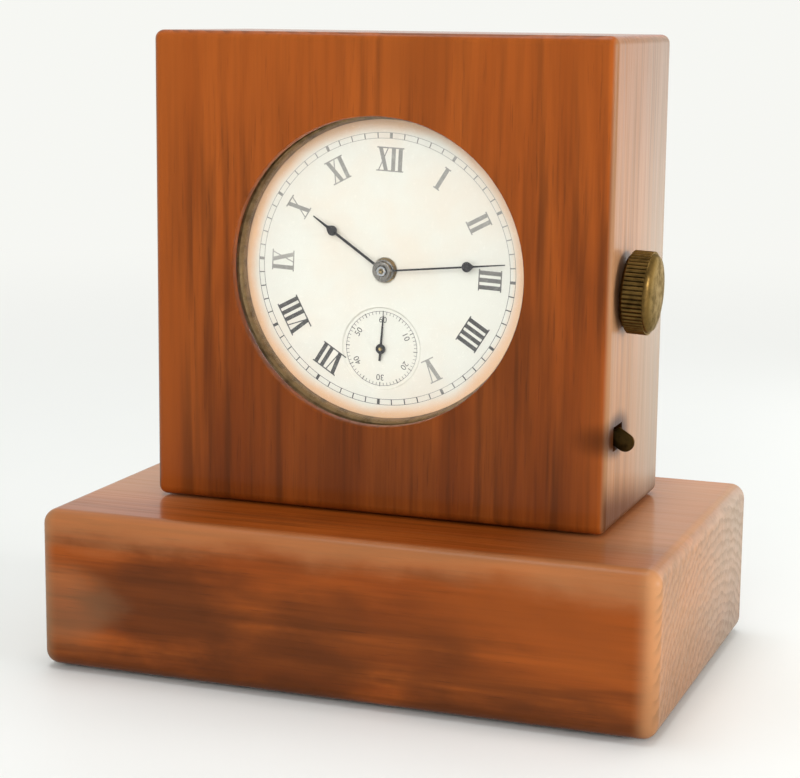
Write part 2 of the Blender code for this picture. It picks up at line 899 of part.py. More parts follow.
def build_hands():
    turn = radians(-90)  # outlines are drawn along +x, twelve is along -y
    hour = flat(
        [spade_outline(hour_boss, hour_hand_shape), circle(hour_pipe_radius + slip_gap, small_segments)],
        hour_hand_depths,
    )
    kept(hour, "hour_hand", movement, blued, (0, 0, 0), (0, 0, hour_hand_angle + turn))
    minute = flat(
        [spade_outline(minute_boss, minute_hand_shape), circle(cannon_radius + slip_gap, small_segments)],
        minute_hand_depths,
    )
    kept(minute, "minute_hand", movement, blued, (0, 0, 0), (0, 0, minute_hand_angle + turn))
    opening = asin(seconds_half_width / seconds_boss)
    outline = (
        arc(seconds_boss, opening, pi - opening, boss_arc_steps // 2)
        + [(-seconds_hand_tail, seconds_half_width), (-seconds_hand_tail, -seconds_half_width)]
        + arc(seconds_boss, pi + opening, 2 * pi - opening, boss_arc_steps // 2)
        + [(seconds_hand_reach, -tip_half_width), (seconds_hand_reach, tip_half_width)]
    )
    seconds = flat([outline, circle(pivot_radius + slip_gap, hole_segments)], seconds_hand_depths)
    place = (*fourth, 0)
    kept(seconds, "seconds_hand", movement, blued, place, (0, 0, seconds_hand_angle + turn))


# Motion work under the dial

cannon_bore_radius = 0.0006
cannon_leaf_depths = minute_wheel_depths
hour_pipe_bore = cannon_radius + running_gap
post_radius = 0.0005
post_back = front_plate_back - 2 * seat_gap
post_bore_radius = post_radius + running_gap
cannon_phase = 0.0
minute_phase = meshing_phase(centre, cannon_teeth, cannon_phase, minute_place, minute_wheel_teeth)
minute_pinion_phase = 0.0
hour_phase = meshing_phase(
    minute_place, minute_pinion_teeth, minute_pinion_phase, centre, hour_wheel_teeth
)
setting_phase = meshing_phase(
    minute_place, minute_wheel_teeth, minute_phase, setting_place, setting_wheel_teeth
)


def build_cannon_pinion():
    leaves = gear_outline(cannon_teeth, cannon_module, pinion_tooth, cannon_phase)
    bore = circle(cannon_bore_radius, hole_segments)
    data = flat([leaves, bore], cannon_leaf_depths)
    piece = kept(data, "cannon_pinion", movement, steel)
    back = cannon_leaf_depths[0] + pipe_overlap
    pipe = tube(cannon_radius, cannon_bore_radius, cannon_front, back, hole_segments)
    join(piece, cutter(pipe, "cannon_pipe", movement))


def build_hour_wheel():
    teeth = gear_outline(hour_wheel_teeth, minute_pinion_module, wheel_tooth, hour_phase)
    data = flat([teeth, circle(hour_pipe_bore, small_segments)], hour_wheel_depths)
    piece = kept(data, "hour_wheel", movement, brass)
    back = hour_wheel_depths[0] + pipe_overlap
    pipe = tube(hour_pipe_radius, hour_pipe_bore, hour_pipe_front, back, small_segments)
    join(piece, cutter(pipe, "hour_pipe", movement))


def build_minute_wheel():
    place = (*minute_place, 0)
    bore = circle(post_bore_radius, hole_segments)
    leaves = gear_outline(minute_pinion_teeth, minute_pinion_module, pinion_tooth, minute_pinion_phase)
    teeth = gear_outline(minute_wheel_teeth, cannon_module, wheel_tooth, minute_phase)
    data = flat([teeth, bore], minute_wheel_depths)
    piece = kept(data, "minute_wheel", movement, brass, place)
    leaf_depths = (hour_wheel_depths[0], minute_wheel_depths[0] + pipe_overlap)
    join(piece, cutter(flat([leaves, bore], leaf_depths), "minute_pinion", movement, place))


def build_setting_wheel():
    teeth = gear_outline(setting_wheel_teeth, cannon_module, wheel_tooth, setting_phase)
    data = flat([teeth, circle(post_bore_radius, hole_segments)], minute_wheel_depths)
    kept(data, "setting_wheel", movement, steel, (*setting_place, 0))


# Plates, pillars and clamps

window_half_height = 0.00275
stem_hole_radius = 0.00105
pilot_hole_radius = 0.00075
pilot_hole_slack = 0.0004
pilot_hole_end = stem_inner - pilot_hole_slack
centre_hole_radius = 0.00085
barrel_pivot_radius = 0.0008
barrel_hole_radius = 0.0011
balance_opening_radius = 0.0072
crown_post_radius = 0.0012
crown_post_hole_radius = 0.0015
click_place = on_plate(click_place_shares)
click_spring_foot = on_plate(click_spring_foot_place_shares)
cock_foot = on_plate(cock_foot_place_shares)
cock_screw_place = on_plate(cock_screw_place_shares)
lever_guide_inset = 0.0060
lever_guide_radius = front_plate_radius - lever_guide_inset


def on_lever(distance):
    return (distance * cos(lever_angle), distance * sin(lever_angle))


def front_plate_holes():
    """(place, radius) of every round hole through the front plate."""
    holes = [(centre, centre_hole_radius), (barrel, barrel_hole_radius)]
    holes += [(place, pivot_hole_radius) for place in (middle, third, escape, pallet, balance)]
    holes.append((fourth, pivot_hole_radius))
    holes.append((click_place, small_screw_hole_radius))
    holes += [
        (place, dial_foot_radius + seat_gap)
        for place in ring_places(foot_ring_radius, dial_foot_angles)
    ]
    return holes


def build_front_plate():
    depths = (front_plate_front, front_plate_back)
    outlines = [circle(front_plate_radius, large_segments)]
    outlines.append(
        [
            (window_inner, -window_half_height),
            (window_outer, -window_half_height),
            (window_outer, window_half_height),
            (window_inner, window_half_height),
        ]
    )
    outlines += [circle(radius, hole_segments, *place) for place, radius in front_plate_holes()]
    piece = kept(flat(outlines, depths), "front_plate", movement, brass)
    reach = front_plate_radius + cut_overrun
    pillars = rod(pillar_radius, front_plate_back - pipe_overlap, pillar_back, small_segments)
    posts = rod(post_radius, post_front, post_back, hole_segments)
    lever_post = rod(guide_pin_radius, post_front, post_back, hole_segments)
    post_places = (minute_place, setting_place, yoke_place)
    join(
        piece,
        cutter(repeated(pillars, moved(pillar_places())), "pillars", movement),
        cutter(repeated(posts, moved(post_places)), "dial_side_posts", movement),
        cutter(lever_post, "lever_guide_post", movement, (*on_lever(lever_guide_radius), 0)),
    )
    bore_floor = pillar_back - pillar_bore_depth
    bore = rod(pillar_bore_radius, bore_floor, pillar_back + cut_overrun, hole_segments)
    cut(piece, cutter(repeated(bore, moved(pillar_places())), "pillar_bores", movement))
    stem_hole = rod(stem_hole_radius, window_outer - cut_overrun, reach, hole_segments)
    pilot_hole = rod(pilot_hole_radius, pilot_hole_end, window_inner + cut_overrun, hole_segments)
    place = (0, 0, stem_depth)
    cut(
        piece,
        cutter(stem_hole, "plate_stem_hole", movement, place, along_stem),
        cutter(pilot_hole, "plate_pilot_hole", movement, place, along_stem),
    )


def pillar_places():
    return ring_places(pillar_ring_radius, pillar_angles)


def build_back_plate():
    outlines = [circle(back_plate_radius, large_segments)]
    holes = [(place, pivot_hole_radius) for place in (centre, middle, third, fourth, escape, pallet)]
    holes.append((barrel, barrel_hole_radius))
    holes.append((crown, crown_post_hole_radius))
    holes.append((cock_screw_place, small_screw_hole_radius))
    holes += [(place, plate_screw_hole_radius) for place in pillar_places()]
    outlines += [circle(radius, hole_segments, *place) for place, radius in holes]
    outlines.append(circle(balance_opening_radius, middle_segments, *balance))
    kept(flat(outlines, (back_plate_front, back_plate_back)), "back_plate", movement, brass)


def build_plate_screws():
    head_seat = back_plate_back + seat_gap
    places = moved(pillar_places(), head_seat)
    copies(screw_mesh(*plate_screw_size), "plate_screw", places, movement, blued)


def build_clamps():
    front = front_plate_back + seat_gap
    half_length = clamp_length / 2
    half_width = clamp_width / 2
    screw_offset = clamp_ring_radius - clamp_middle_radius
    outline = [
        (-half_length, -half_width),
        (half_length, -half_width),
        (half_length, half_width),
        (-half_length, half_width),
    ]
    hole = circle(clamp_screw_hole_radius, hole_segments, screw_offset)
    data = flat([outline, hole], (front, front + clamp_thickness))
    places = ring_places(clamp_middle_radius, clamp_angles)
    matrices = [
        place @ Matrix.Rotation(angle, 4, "Z") for place, angle in zip(moved(places), clamp_angles)
    ]
    copies(data, "movement_clamp", matrices, movement, brass)
    head_seat = front + clamp_thickness + seat_gap
    places = moved(ring_places(clamp_ring_radius, clamp_angles), head_seat)
    copies(screw_mesh(*clamp_screw_size), "clamp_screw", places, movement, steel)


# Going train

barrel_phase = 0.0
middle_pinion_phase = meshing_phase(
    barrel, barrel_teeth, barrel_phase, middle, middle_pinion_teeth
)
middle_wheel_phase = 0.0
centre_pinion_phase = meshing_phase(
    middle, middle_wheel_teeth, middle_wheel_phase, centre, centre_pinion_teeth
)
centre_wheel_phase = 0.0
third_pinion_phase = meshing_phase(
    centre, centre_wheel_teeth, centre_wheel_phase, third, third_pinion_teeth
)
third_wheel_phase = 0.0
fourth_pinion_phase = meshing_phase(
    third, third_wheel_teeth, third_wheel_phase, fourth, fourth_pinion_teeth
)
fourth_wheel_phase = 0.0
escape_pinion_phase = meshing_phase(
    fourth, fourth_wheel_teeth, fourth_wheel_phase, escape, escape_pinion_teeth
)

arbor_bite = 0.0024
arbor_tail = 0.0016
arbor_front = front_plate_back - arbor_bite
arbor_back = back_plate_front + arbor_tail
shoulder_front = front_plate_back + running_gap
shoulder_back = back_plate_front - running_gap
centre_arbor_radius = 0.0007
centre_arbor_rise = 0.0001
centre_arbor_front = dial_front - centre_arbor_rise
barrel_wall = 0.0007
barrel_outer = 0.0119
barrel_floor = 0.0005
barrel_arbor_body = 0.0015
barrel_arbor_hub = 0.0026
barrel_bore = barrel_arbor_body + running_gap
mainspring_turns = 4
mainspring_thickness = 0.00035
mainspring_reach = (0.0032, 0.0105)
spiral_steps = 12
hairspring_turns = 4
hairspring_thickness = 0.00014
hairspring_reach = (0.0011, 0.0048)
hairspring_shares = (0.35, 0.50)
hairspring_depths = at_shares(hairspring_shares, back_plate_front, back_plate_thickness)


def build_arbor(name, place, stages, leaves, wheel):
    """A wheel riveted on its arbor, with the pinion cut on it, as one turning piece."""
    teeth, module, depths, phase = leaves
    spot = (*place, 0)
    piece = kept(stepped(stages, hole_segments), name, movement, gilt, spot)
    tools = [cutter(pinion(teeth, module, depths, phase), name + "_leaves", movement, spot)]
    tools.append(cutter(wheel, name + "_rim", movement, spot))
    join(piece, *tools)


def plain_stages(radius=arbor_radius, front=arbor_front):
    return [
        (pivot_radius, front, shoulder_front),
        (radius, shoulder_front, shoulder_back),
        (pivot_radius, shoulder_back, arbor_back),
    ]


def build_train_wheels():
    centre_stages = [
        (cannon_bore_radius - slip_gap, centre_arbor_front, shoulder_front),
        (centre_arbor_radius, shoulder_front, shoulder_back),
        (pivot_radius, shoulder_back, arbor_back),
    ]
    build_arbor(
        "centre_wheel",
        centre,
        centre_stages,
        (centre_pinion_teeth, barrel_module, centre_pinion_depths, centre_pinion_phase),
        spoked_wheel(centre_wheel_teeth, centre_module, centre_wheel_depths, centre_wheel_phase),
    )
    build_arbor(
        "middle_wheel",
        middle,
        plain_stages(),
        (middle_pinion_teeth, barrel_module, middle_pinion_depths, middle_pinion_phase),
        spoked_wheel(middle_wheel_teeth, barrel_module, middle_wheel_depths, middle_wheel_phase),
    )
    build_arbor(
        "third_wheel",
        third,
        plain_stages(),
        (third_pinion_teeth, centre_module, third_pinion_depths, third_pinion_phase),
        spoked_wheel(third_wheel_teeth, third_module, third_wheel_depths, third_wheel_phase),
    )
    build_arbor(
        "fourth_wheel",
        fourth,
        plain_stages(front=fourth_arbor_front),
        (fourth_pinion_teeth, third_module, fourth_pinion_depths, fourth_pinion_phase),
        spoked_wheel(fourth_wheel_teeth, fourth_module, fourth_wheel_depths, fourth_wheel_phase),
    )
    build_arbor(
        "escape_wheel",
        escape,
        plain_stages(escape_arbor_radius),
        (escape_pinion_teeth, fourth_module, escape_pinion_depths, escape_pinion_phase),
        escape_rim(),
    )


escape_arbor_radius = 0.00035
wheel_seat = 0.0002
escape_tip_radius = 0.0042
escape_root_radius = 0.0033
escape_hub_radius = 0.0010
escape_spokes = 3
escape_rim_width = 0.0006
escape_lean_share = 0.35
escape_heel_share = 0.30
escape_tip_share = 0.06


def escape_rim():
    pitch = 2 * pi / escape_teeth
    outline = []
    for number in range(escape_teeth):
        start = number * pitch
        for radius, share in (
            (escape_root_radius, 0),
            (escape_tip_radius, escape_lean_share),
            (escape_tip_radius, escape_lean_share + escape_tip_share),
            (escape_root_radius, escape_lean_share + escape_heel_share),
        ):
            angle = start + share * pitch
            outline.append((radius * cos(angle), radius * sin(angle)))
    inner_rim = escape_root_radius - escape_rim_width
    holes = spoke_holes(escape_hub_radius, inner_rim, escape_spokes, escape_rim_width)
    return flat([outline] + holes, escape_wheel_depths)


def build_barrel():
    front, back = barrel_depths
    place = (*barrel, 0)
    drum_profile = [
        (barrel_outer, barrel_rim_front + pipe_overlap),
        (barrel_outer, front),
        (barrel_bore, front),
        (barrel_bore, front + barrel_floor),
        (barrel_outer - barrel_wall, front + barrel_floor),
        (barrel_outer - barrel_wall, barrel_rim_front + pipe_overlap),
    ]
    drum = cutter(turned(drum_profile, middle_segments), "barrel_drum", movement, place)
    teeth = gear_outline(barrel_teeth, barrel_module, wheel_tooth, barrel_phase)
    rim_bore = circle(barrel_outer - barrel_wall, middle_segments)
    data = flat([teeth, rim_bore], (barrel_rim_front, back))
    piece = kept(data, "barrel", movement, gilt, place)
    join(piece, drum)
    cover_radius = barrel_outer - barrel_wall - seat_gap
    cover = tube(cover_radius, barrel_bore, *barrel_cover_depths, middle_segments)
    kept(cover, "barrel_cover", movement, gilt, place)
    stages = [
        (barrel_pivot_radius, arbor_front, shoulder_front),
        (barrel_arbor_body, shoulder_front, barrel_hub_depths[0]),
        (barrel_arbor_hub, *barrel_hub_depths),
        (barrel_arbor_body, barrel_hub_depths[1], shoulder_back),
        (barrel_pivot_radius, shoulder_back, arbor_back),
    ]
    kept(stepped(stages), "barrel_arbor", movement, steel, place)


def spiral(reach, turns, thickness, depths):
    """A flat spiral strip, as one closed outline."""
    inner, outer = reach
    steps = turns * spiral_steps
    inside = []
    outside = []
    for i in range(steps + 1):
        angle = 2 * pi * i / spiral_steps
        radius = inner + (outer - inner) * i / steps
        inside.append((radius * cos(angle), radius * sin(angle)))
        outside.append(((radius + thickness) * cos(angle), (radius + thickness) * sin(angle)))
    return flat([outside + list(reversed(inside))], depths)


def build_springs():
    data = spiral(mainspring_reach, mainspring_turns, mainspring_thickness, mainspring_depths)
    kept(data, "mainspring", movement, steel, (*barrel, 0))
    data = spiral(hairspring_reach, hairspring_turns, hairspring_thickness, hairspring_depths)
    kept(data, "hairspring", movement, blued, (*balance, 0))


# Escapement and balance

balance_outer = 0.0065
balance_inner = 0.0056
balance_staff_radius = 0.0005
balance_hub = 0.0013
balance_spokes = 2
staff_bite = 0.0003
staff_back = cock_front + staff_bite
roller_radius = 0.0024
impulse_pin_radius = 0.0002
impulse_pin_place = 0.0020
pin_segments = 8
fork_reach = 0.00645
fork_half_width = 0.0006
fork_neck = 0.0004
fork_prong = 0.0009
fork_slot = 0.0012
pallet_span = radians(36)
pallet_half_width = 0.0004
pallet_clearance = 0.00046
pallet_arbor_radius = 0.0004


def build_balance():
    place = (*balance, 0)
    outlines = [circle(balance_outer, middle_segments)]
    outlines.append(circle(balance_staff_radius + wheel_seat, hole_segments))
    outlines += spoke_holes(balance_hub, balance_inner, balance_spokes, spoke_width)
    kept(flat(outlines, balance_depths), "balance_wheel", movement, gilt, place)
    stages = [
        (pivot_radius, arbor_front, shoulder_front),
        (balance_staff_radius, shoulder_front, roller_depths[0]),
        (roller_radius, *roller_depths),
        (balance_staff_radius, roller_depths[1], cock_depths[0] - running_gap),
        (pivot_radius, cock_depths[0] - running_gap, staff_back),
    ]
    turn = (0, 0, pallet_direction + pi)
    piece = kept(stepped(stages), "balance_staff", movement, steel, place, turn)
    pin = rod(impulse_pin_radius, impulse_pin_front, roller_depths[1] - pipe_overlap, pin_segments)
    pin.transform(Matrix.Translation((impulse_pin_place, 0, 0)))
    join(piece, cutter(pin, "impulse_pin", movement, place, turn))


def build_pallet_fork():
    """Arms to the escape wheel and a fork to the roller, on one arbor."""
    tip_circle = escape_tip_radius + pallet_clearance
    stone_tips = []
    for side in (1, -1):
        angle = side * pallet_span
        stone_tips.append(
            (
                -pallet_distance + tip_circle * cos(angle),
                tip_circle * sin(angle),
            )
        )
    (upper_x, upper_y), (lower_x, lower_y) = stone_tips
    outline = [
        (fork_reach, fork_prong),
        (fork_reach, fork_slot / 4),
        (fork_reach - fork_slot, fork_slot / 4),
        (fork_reach - fork_slot, -fork_slot / 4),
        (fork_reach, -fork_slot / 4),
        (fork_reach, -fork_prong),
        (fork_reach - 2 * fork_slot, -fork_neck),
        (pallet_half_width, -fork_half_width),
        (lower_x + 2 * pallet_half_width, lower_y - pallet_half_width),
        (lower_x, lower_y),
        (-fork_half_width, -fork_neck),
        (-fork_half_width, fork_neck),
        (upper_x, upper_y),
        (upper_x + 2 * pallet_half_width, upper_y + pallet_half_width),
        (pallet_half_width, fork_half_width),
        (fork_reach - 2 * fork_slot, fork_neck),
    ]
    place = (*pallet, 0)
    turn = (0, 0, pallet_direction)
    piece = kept(flat([outline], escape_wheel_depths), "pallet_fork", movement, steel, place, turn)
    arbor = stepped(plain_stages(pallet_arbor_radius), hole_segments)
    join(piece, cutter(arbor, "pallet_arbor", movement, place, turn))


cock_width = 0.0046
cock_foot_radius = 0.0046
cock_head_radius = 0.0030
cock_arc_steps = 10


def build_balance_cock():
    """A flat bar from its foot on the back plate to the balance's upper pivot."""
    dx = cock_foot[0] - balance[0]
    dy = cock_foot[1] - balance[1]
    span = hypot(dx, dy)
    direction = atan2(dy, dx)
    head_open = asin(cock_width / 2 / cock_head_radius)
    foot_open = asin(cock_width / 2 / cock_foot_radius)
    outline = arc(cock_head_radius, head_open, 2 * pi - head_open, cock_arc_steps)
    outline += arc(cock_foot_radius, foot_open - pi, pi - foot_open, cock_arc_steps, span)
    screw_x = cock_screw_place[0] - balance[0]
    screw_y = cock_screw_place[1] - balance[1]
    along = screw_x * cos(direction) + screw_y * sin(direction)
    across = screw_y * cos(direction) - screw_x * sin(direction)
    holes = [
        circle(pivot_hole_radius, hole_segments),
        circle(small_screw_hole_radius, hole_segments, along, across),
    ]
    data = flat([outline] + holes, cock_depths)
    kept(data, "balance_cock", movement, gilt, (*balance, 0), (0, 0, direction))
    screw = screw_mesh(*small_screw_size)
    place = (*cock_screw_place, cock_depths[1] + seat_gap)
    kept(screw, "cock_screw", movement, blued, place)


# Winding work

crown_phase = 0.0
contrate_phase = 0.0
ratchet_phase = meshing_phase(crown, crown_teeth, crown_phase, barrel, ratchet_teeth)
winding_pinion_radius = 0.0021
winding_pinion_tip = 0.00235
winding_pinion_root = 0.00165
winding_tooth_module = 2 * winding_pinion_radius / winding_pinion_teeth
winding_bore_radius = stem_radius + running_gap
contrate_width = 0.0010
contrate_root_share = 0.44
contrate_tip_share = 0.20
crown_disc_bore = crown_post_radius + running_gap
crown_post_head = 0.0021
crown_recess_radius = 0.0026
crown_nut_height = 0.0008


def contrate_tooth():
    """One tooth standing on the crown wheel's front face, along +x."""
    front, back = contrate_depths
    pitch = 2 * pi * contrate_radius / contrate_teeth
    shape = bmesh.new()
    inner = contrate_radius - contrate_width / 2
    outer = contrate_radius + contrate_width / 2
    bmesh.ops.create_cube(shape, size=1)
    for vert in shape.verts:
        vert.co.x = outer if vert.co.x > 0 else inner
        share = contrate_tip_share if vert.co.z < 0 else contrate_root_share
        vert.co.y = (1 if vert.co.y > 0 else -1) * share * pitch / 2
        vert.co.z = front if vert.co.z < 0 else back
    data = bpy.data.meshes.new("contrate_tooth")
    shape.to_mesh(data)
    shape.free()
    return data


def build_crown_wheel():
    place = (*crown, 0)
    teeth = gear_outline(crown_teeth, winding_module, wheel_tooth, crown_phase)
    data = flat([teeth, circle(crown_disc_bore, hole_segments)], crown_depths)
    piece = kept(data, "crown_wheel", movement, steel, place)
    step = 2 * pi / contrate_teeth
    turns = [Matrix.Rotation(contrate_phase + i * step, 4, "Z") for i in range(contrate_teeth)]
    join(piece, cutter(repeated(contrate_tooth(), turns), "contrate_teeth", movement, place))
    recess = rod(crown_recess_radius, crown_depths[0] - cut_overrun, crown_recess, small_segments)
    cut(piece, cutter(recess, "crown_recess", movement, place))
    back = back_plate_back + seat_gap
    stages = [
        (crown_post_head, *crown_head_depths),
        (crown_post_radius, crown_head_depths[1], back),
        (crown_post_head, back, back + crown_nut_height),
    ]
    kept(stepped(stages), "crown_post", movement, steel, place)


ratchet_seat = 0.0003


def build_ratchet_wheel():
    teeth = gear_outline(ratchet_teeth, winding_module, wheel_tooth, ratchet_phase)
    bore = circle(barrel_arbor_body + ratchet_seat, small_segments)
    kept(flat([teeth, bore], crown_depths), "ratchet_wheel", movement, steel, (*barrel, 0))


click_reach_gap = 0.0003
click_hub = 0.0017
click_half_width = 0.0006
click_screw_radius = 0.0006


def build_click():
    """A pawl drawn lifted, just clear of the ratchet wheel's teeth."""
    tip_circle = ratchet_teeth * winding_module / 2 + wheel_tooth[0] * winding_module
    dx = barrel[0] - click_place[0]
    dy = barrel[1] - click_place[1]
    reach = hypot(dx, dy) - tip_circle - click_reach_gap
    opening = asin(click_half_width / click_hub)
    outline = arc(click_hub, opening, 2 * pi - opening, boss_arc_steps)
    outline += [(reach, -click_half_width / 2), (reach - click_half_width, click_half_width)]
    holes = [circle(click_screw_radius + running_gap, hole_segments)]
    turn = (0, 0, atan2(dy, dx))
    place = (*click_place, 0)
    kept(flat([outline] + holes, crown_depths), "click", movement, steel, place, turn)
    screw = screw_mesh(*small_screw_size)
    head_seat = crown_depths[1] + seat_gap
    kept(screw, "click_screw", movement, blued, (*click_place, head_seat))


click_spring_width = 0.00025
click_spring_foot_radius = 0.0012


def build_click_spring():
    """A thin leaf from its foot on the front plate to the click's back."""
    end_x = click_place[0] - click_hub - seat_gap
    end_y = click_place[1]
    dx = end_x - click_spring_foot[0]
    dy = end_y - click_spring_foot[1]
    span = hypot(dx, dy)
    opening = asin(click_spring_width / click_spring_foot_radius)
    outline = arc(click_spring_foot_radius, opening, 2 * pi - opening, cock_arc_steps)
    outline += [(span, -click_spring_width), (span, click_spring_width)]
    turn = (0, 0, atan2(dy, dx))
    place = (*click_spring_foot, 0)
    depths = (front_plate_back + seat_gap, click_spring_depths[1])
    kept(flat([outline], depths), "click_spring", movement, steel, place, turn)


clutch_radius = 0.0018
clutch_groove_radius = 0.0013
pilot_radius = 0.00045
knob_inner = block_width / 2 + knob_gap
knob_outer = knob_inner + knob_length
knob_edge = 0.0007
knob_segments = 36
knob_bore_radius = stem_radius + slip_gap
stem_bite = 0.0040
knob_bore_depth = stem_bite + seat_gap
stem_outer = knob_inner + stem_bite
tube_radii = (0.0011, 0.00092)
tube_sink = 0.0002
tube_ends = (plate_bore_radius + seat_gap, block_width / 2 - tube_sink)


def build_winding():
    place = (0, 0, stem_depth)
    shoulder = window_inner + seat_gap
    stages = [(pilot_radius, stem_inner, shoulder), (stem_radius, shoulder, stem_outer)]
    kept(stepped(stages, hole_segments), "winding_stem", movement, steel, place, along_stem)
    tooth = (
        (winding_pinion_tip - winding_pinion_radius) / winding_tooth_module,
        (winding_pinion_radius - winding_pinion_root) / winding_tooth_module,
        pinion_tooth[2],
        pinion_tooth[3],
    )
    phase = pi / winding_pinion_teeth
    leaves = gear_outline(winding_pinion_teeth, winding_tooth_module, tooth, phase)
    data = flat([leaves, circle(winding_bore_radius, hole_segments)], winding_pinion_ends)
    kept(data, "winding_pinion", movement, steel, place, along_stem)
    low, high = clutch_ends
    profile = [
        (clutch_radius, high),
        (clutch_radius, clutch_groove[1]),
        (clutch_groove_radius, clutch_groove[1]),
        (clutch_groove_radius, clutch_groove[0]),
        (clutch_radius, clutch_groove[0]),
        (clutch_radius, low),
        (winding_bore_radius, low),
        (winding_bore_radius, high),
    ]
    kept(turned(profile, small_segments), "clutch_wheel", movement, steel, place, along_stem)
    kept(
        tube(*tube_radii, *tube_ends, small_segments), "stem_tube", movement, brass, place, along_stem
    )
    profile = [
        (0, knob_outer),
        (knob_radius - knob_edge, knob_outer),
        (knob_radius, knob_outer - knob_edge),
        (knob_radius, knob_inner + knob_edge),
        (knob_radius - knob_edge, knob_inner),
        (knob_bore_radius, knob_inner),
        (knob_bore_radius, knob_inner + knob_bore_depth),
        (0, knob_inner + knob_bore_depth),
    ]
    kept(turned(profile, knob_segments), "winding_knob", movement, bronze, place, along_stem)


# Setting work

lever_show = 0.0050
lever_reach = block_width / 2 / cos(lever_angle) + lever_show
lever_half_width = 0.0008
lever_tip_half_width = 0.0018
lever_tip_length = 0.0045
guide_slot_half = 0.0022
guide_pin_radius = 0.0004
guide_half_width = 0.0013
yoke_half_width = 0.0006
yoke_hub = 0.0014
yoke_finger = 0.00045
yoke_tail = 0.0024
lever_yoke_gap = 0.00057
lever_inner = (
    yoke_place[0] * cos(lever_angle)
    + (yoke_place[1] + yoke_tail) * sin(lever_angle)
    + lever_yoke_gap
)


def build_setting_lever():
    """The bar that is pulled out at four o'clock, with a slot for its guide pin."""
    outline = [
        (lever_inner, -lever_half_width),
        (lever_guide_radius - 2 * guide_slot_half, -guide_half_width),
        (lever_guide_radius + 2 * guide_slot_half, -guide_half_width),
        (lever_guide_radius + 3 * guide_slot_half, -lever_half_width),
        (lever_reach - lever_tip_length, -lever_half_width),
        (lever_reach - lever_tip_length, -lever_tip_half_width),
        (lever_reach, -lever_tip_half_width),
        (lever_reach, lever_tip_half_width),
        (lever_reach - lever_tip_length, lever_tip_half_width),
        (lever_reach - lever_tip_length, lever_half_width),
        (lever_guide_radius + 3 * guide_slot_half, lever_half_width),
        (lever_guide_radius + 2 * guide_slot_half, guide_half_width),
        (lever_guide_radius - 2 * guide_slot_half, guide_half_width),
        (lever_inner, lever_half_width),
    ]
    low = lever_guide_radius - lever_travel - guide_pin_radius - seat_gap
    high = lever_guide_radius + guide_pin_radius + seat_gap
    half = guide_pin_radius + seat_gap / 2
    slot = [(low, -half), (high, -half), (high, half), (low, half)]
    turn = (0, 0, lever_angle)
    kept(flat([outline, slot], setting_depths), "setting_lever", movement, bronze, (0, 0, 0), turn)


def build_yoke():
    """The clutch lever: a finger in the clutch's groove and a short tail."""
    groove_middle = sum(clutch_groove) / 2
    dx = groove_middle - yoke_place[0]
    dy = -yoke_place[1]
    span = hypot(dx, dy)
    opening = asin(yoke_half_width / yoke_hub)
    outline = arc(yoke_hub, opening, pi - opening, cock_arc_steps // 2)
    outline += [(-yoke_tail, yoke_half_width), (-yoke_tail, -yoke_half_width)]
    outline += arc(yoke_hub, pi + opening, 2 * pi - opening, cock_arc_steps // 2)
    outline += [
        (span - 2 * clutch_radius, -yoke_half_width),
        (span, -yoke_finger),
        (span, yoke_finger),
        (span - 2 * clutch_radius, yoke_half_width),
    ]
    holes = [circle(post_bore_radius, hole_segments)]
    turn = (0, 0, atan2(dy, dx))
    place = (*yoke_place, 0)
    kept(flat([outline] + holes, setting_depths), "yoke", movement, steel, place, turn)


# Back cover

back_cover_radius = cover_bore_radius - seat_gap


def build_back_cover():
    front = cover_front + seat_gap
    back = front + cover_thickness
    outlines = [circle(back_cover_radius, large_segments)]
    places = cover_screw_positions()
    outlines += [circle(cover_screw_hole_radius, hole_segments, x, y) for x, y in places]
    kept(flat(outlines, (front, back)), "back_cover", movement, brass)
    screw = screw_mesh(*cover_screw_size)
    head_seat = back + seat_gap
    copies(screw, "back_cover_screw", moved(places, head_seat), movement, brass)


def build_movement_frame():
    frame = bpy.data.objects.new("movement_frame", None)
    part_pieces.objects.link(frame)
    frame.location = (0, block_front, dial_height)
    frame.rotation_euler = (radians(-90), movement_lean, 0)
    return frame


empty_file()
part_pieces = new_collection("desk_clock")
cutters = new_collection("cutters")
movement = build_movement_frame()

build_base()
build_feet()
build_base_screws()
build_block()
build_crystal()
build_dial_ring()
build_dial()
build_hands()
build_cannon_pinion()
build_hour_wheel()
build_minute_wheel()
build_setting_wheel()
build_front_plate()
build_back_plate()
build_plate_screws()
build_clamps()
build_train_wheels()
build_barrel()
build_springs()
build_balance()
build_pallet_fork()
build_balance_cock()
build_crown_wheel()
build_ratchet_wheel()
build_click()
build_click_spring()
build_winding()
build_setting_lever()
build_yoke()
build_back_cover()
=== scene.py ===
import json
from math import asin, cos, pi, radians, sin

import bmesh
import bpy
from bpy.props import FloatProperty, FloatVectorProperty, IntProperty
from mathutils import Matrix, Vector


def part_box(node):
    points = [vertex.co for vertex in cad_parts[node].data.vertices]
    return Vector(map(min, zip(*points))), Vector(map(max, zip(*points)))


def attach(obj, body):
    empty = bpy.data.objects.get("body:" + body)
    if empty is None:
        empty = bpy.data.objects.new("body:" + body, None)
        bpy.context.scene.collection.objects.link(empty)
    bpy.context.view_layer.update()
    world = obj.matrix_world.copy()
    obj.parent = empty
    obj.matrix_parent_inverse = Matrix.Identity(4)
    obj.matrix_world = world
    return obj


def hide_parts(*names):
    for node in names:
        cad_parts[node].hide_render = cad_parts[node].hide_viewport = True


bl_info = {
    "name": "Wooden Desk Clock",
    "version": (1, 0, 0),
    "blender": (4, 5, 0),
    "location": "View3D > Sidebar > Desk Clock",
    "description": "Dresses a desk clock's solids in wood, enamel, brass and steel",
    "category": "Object",
}

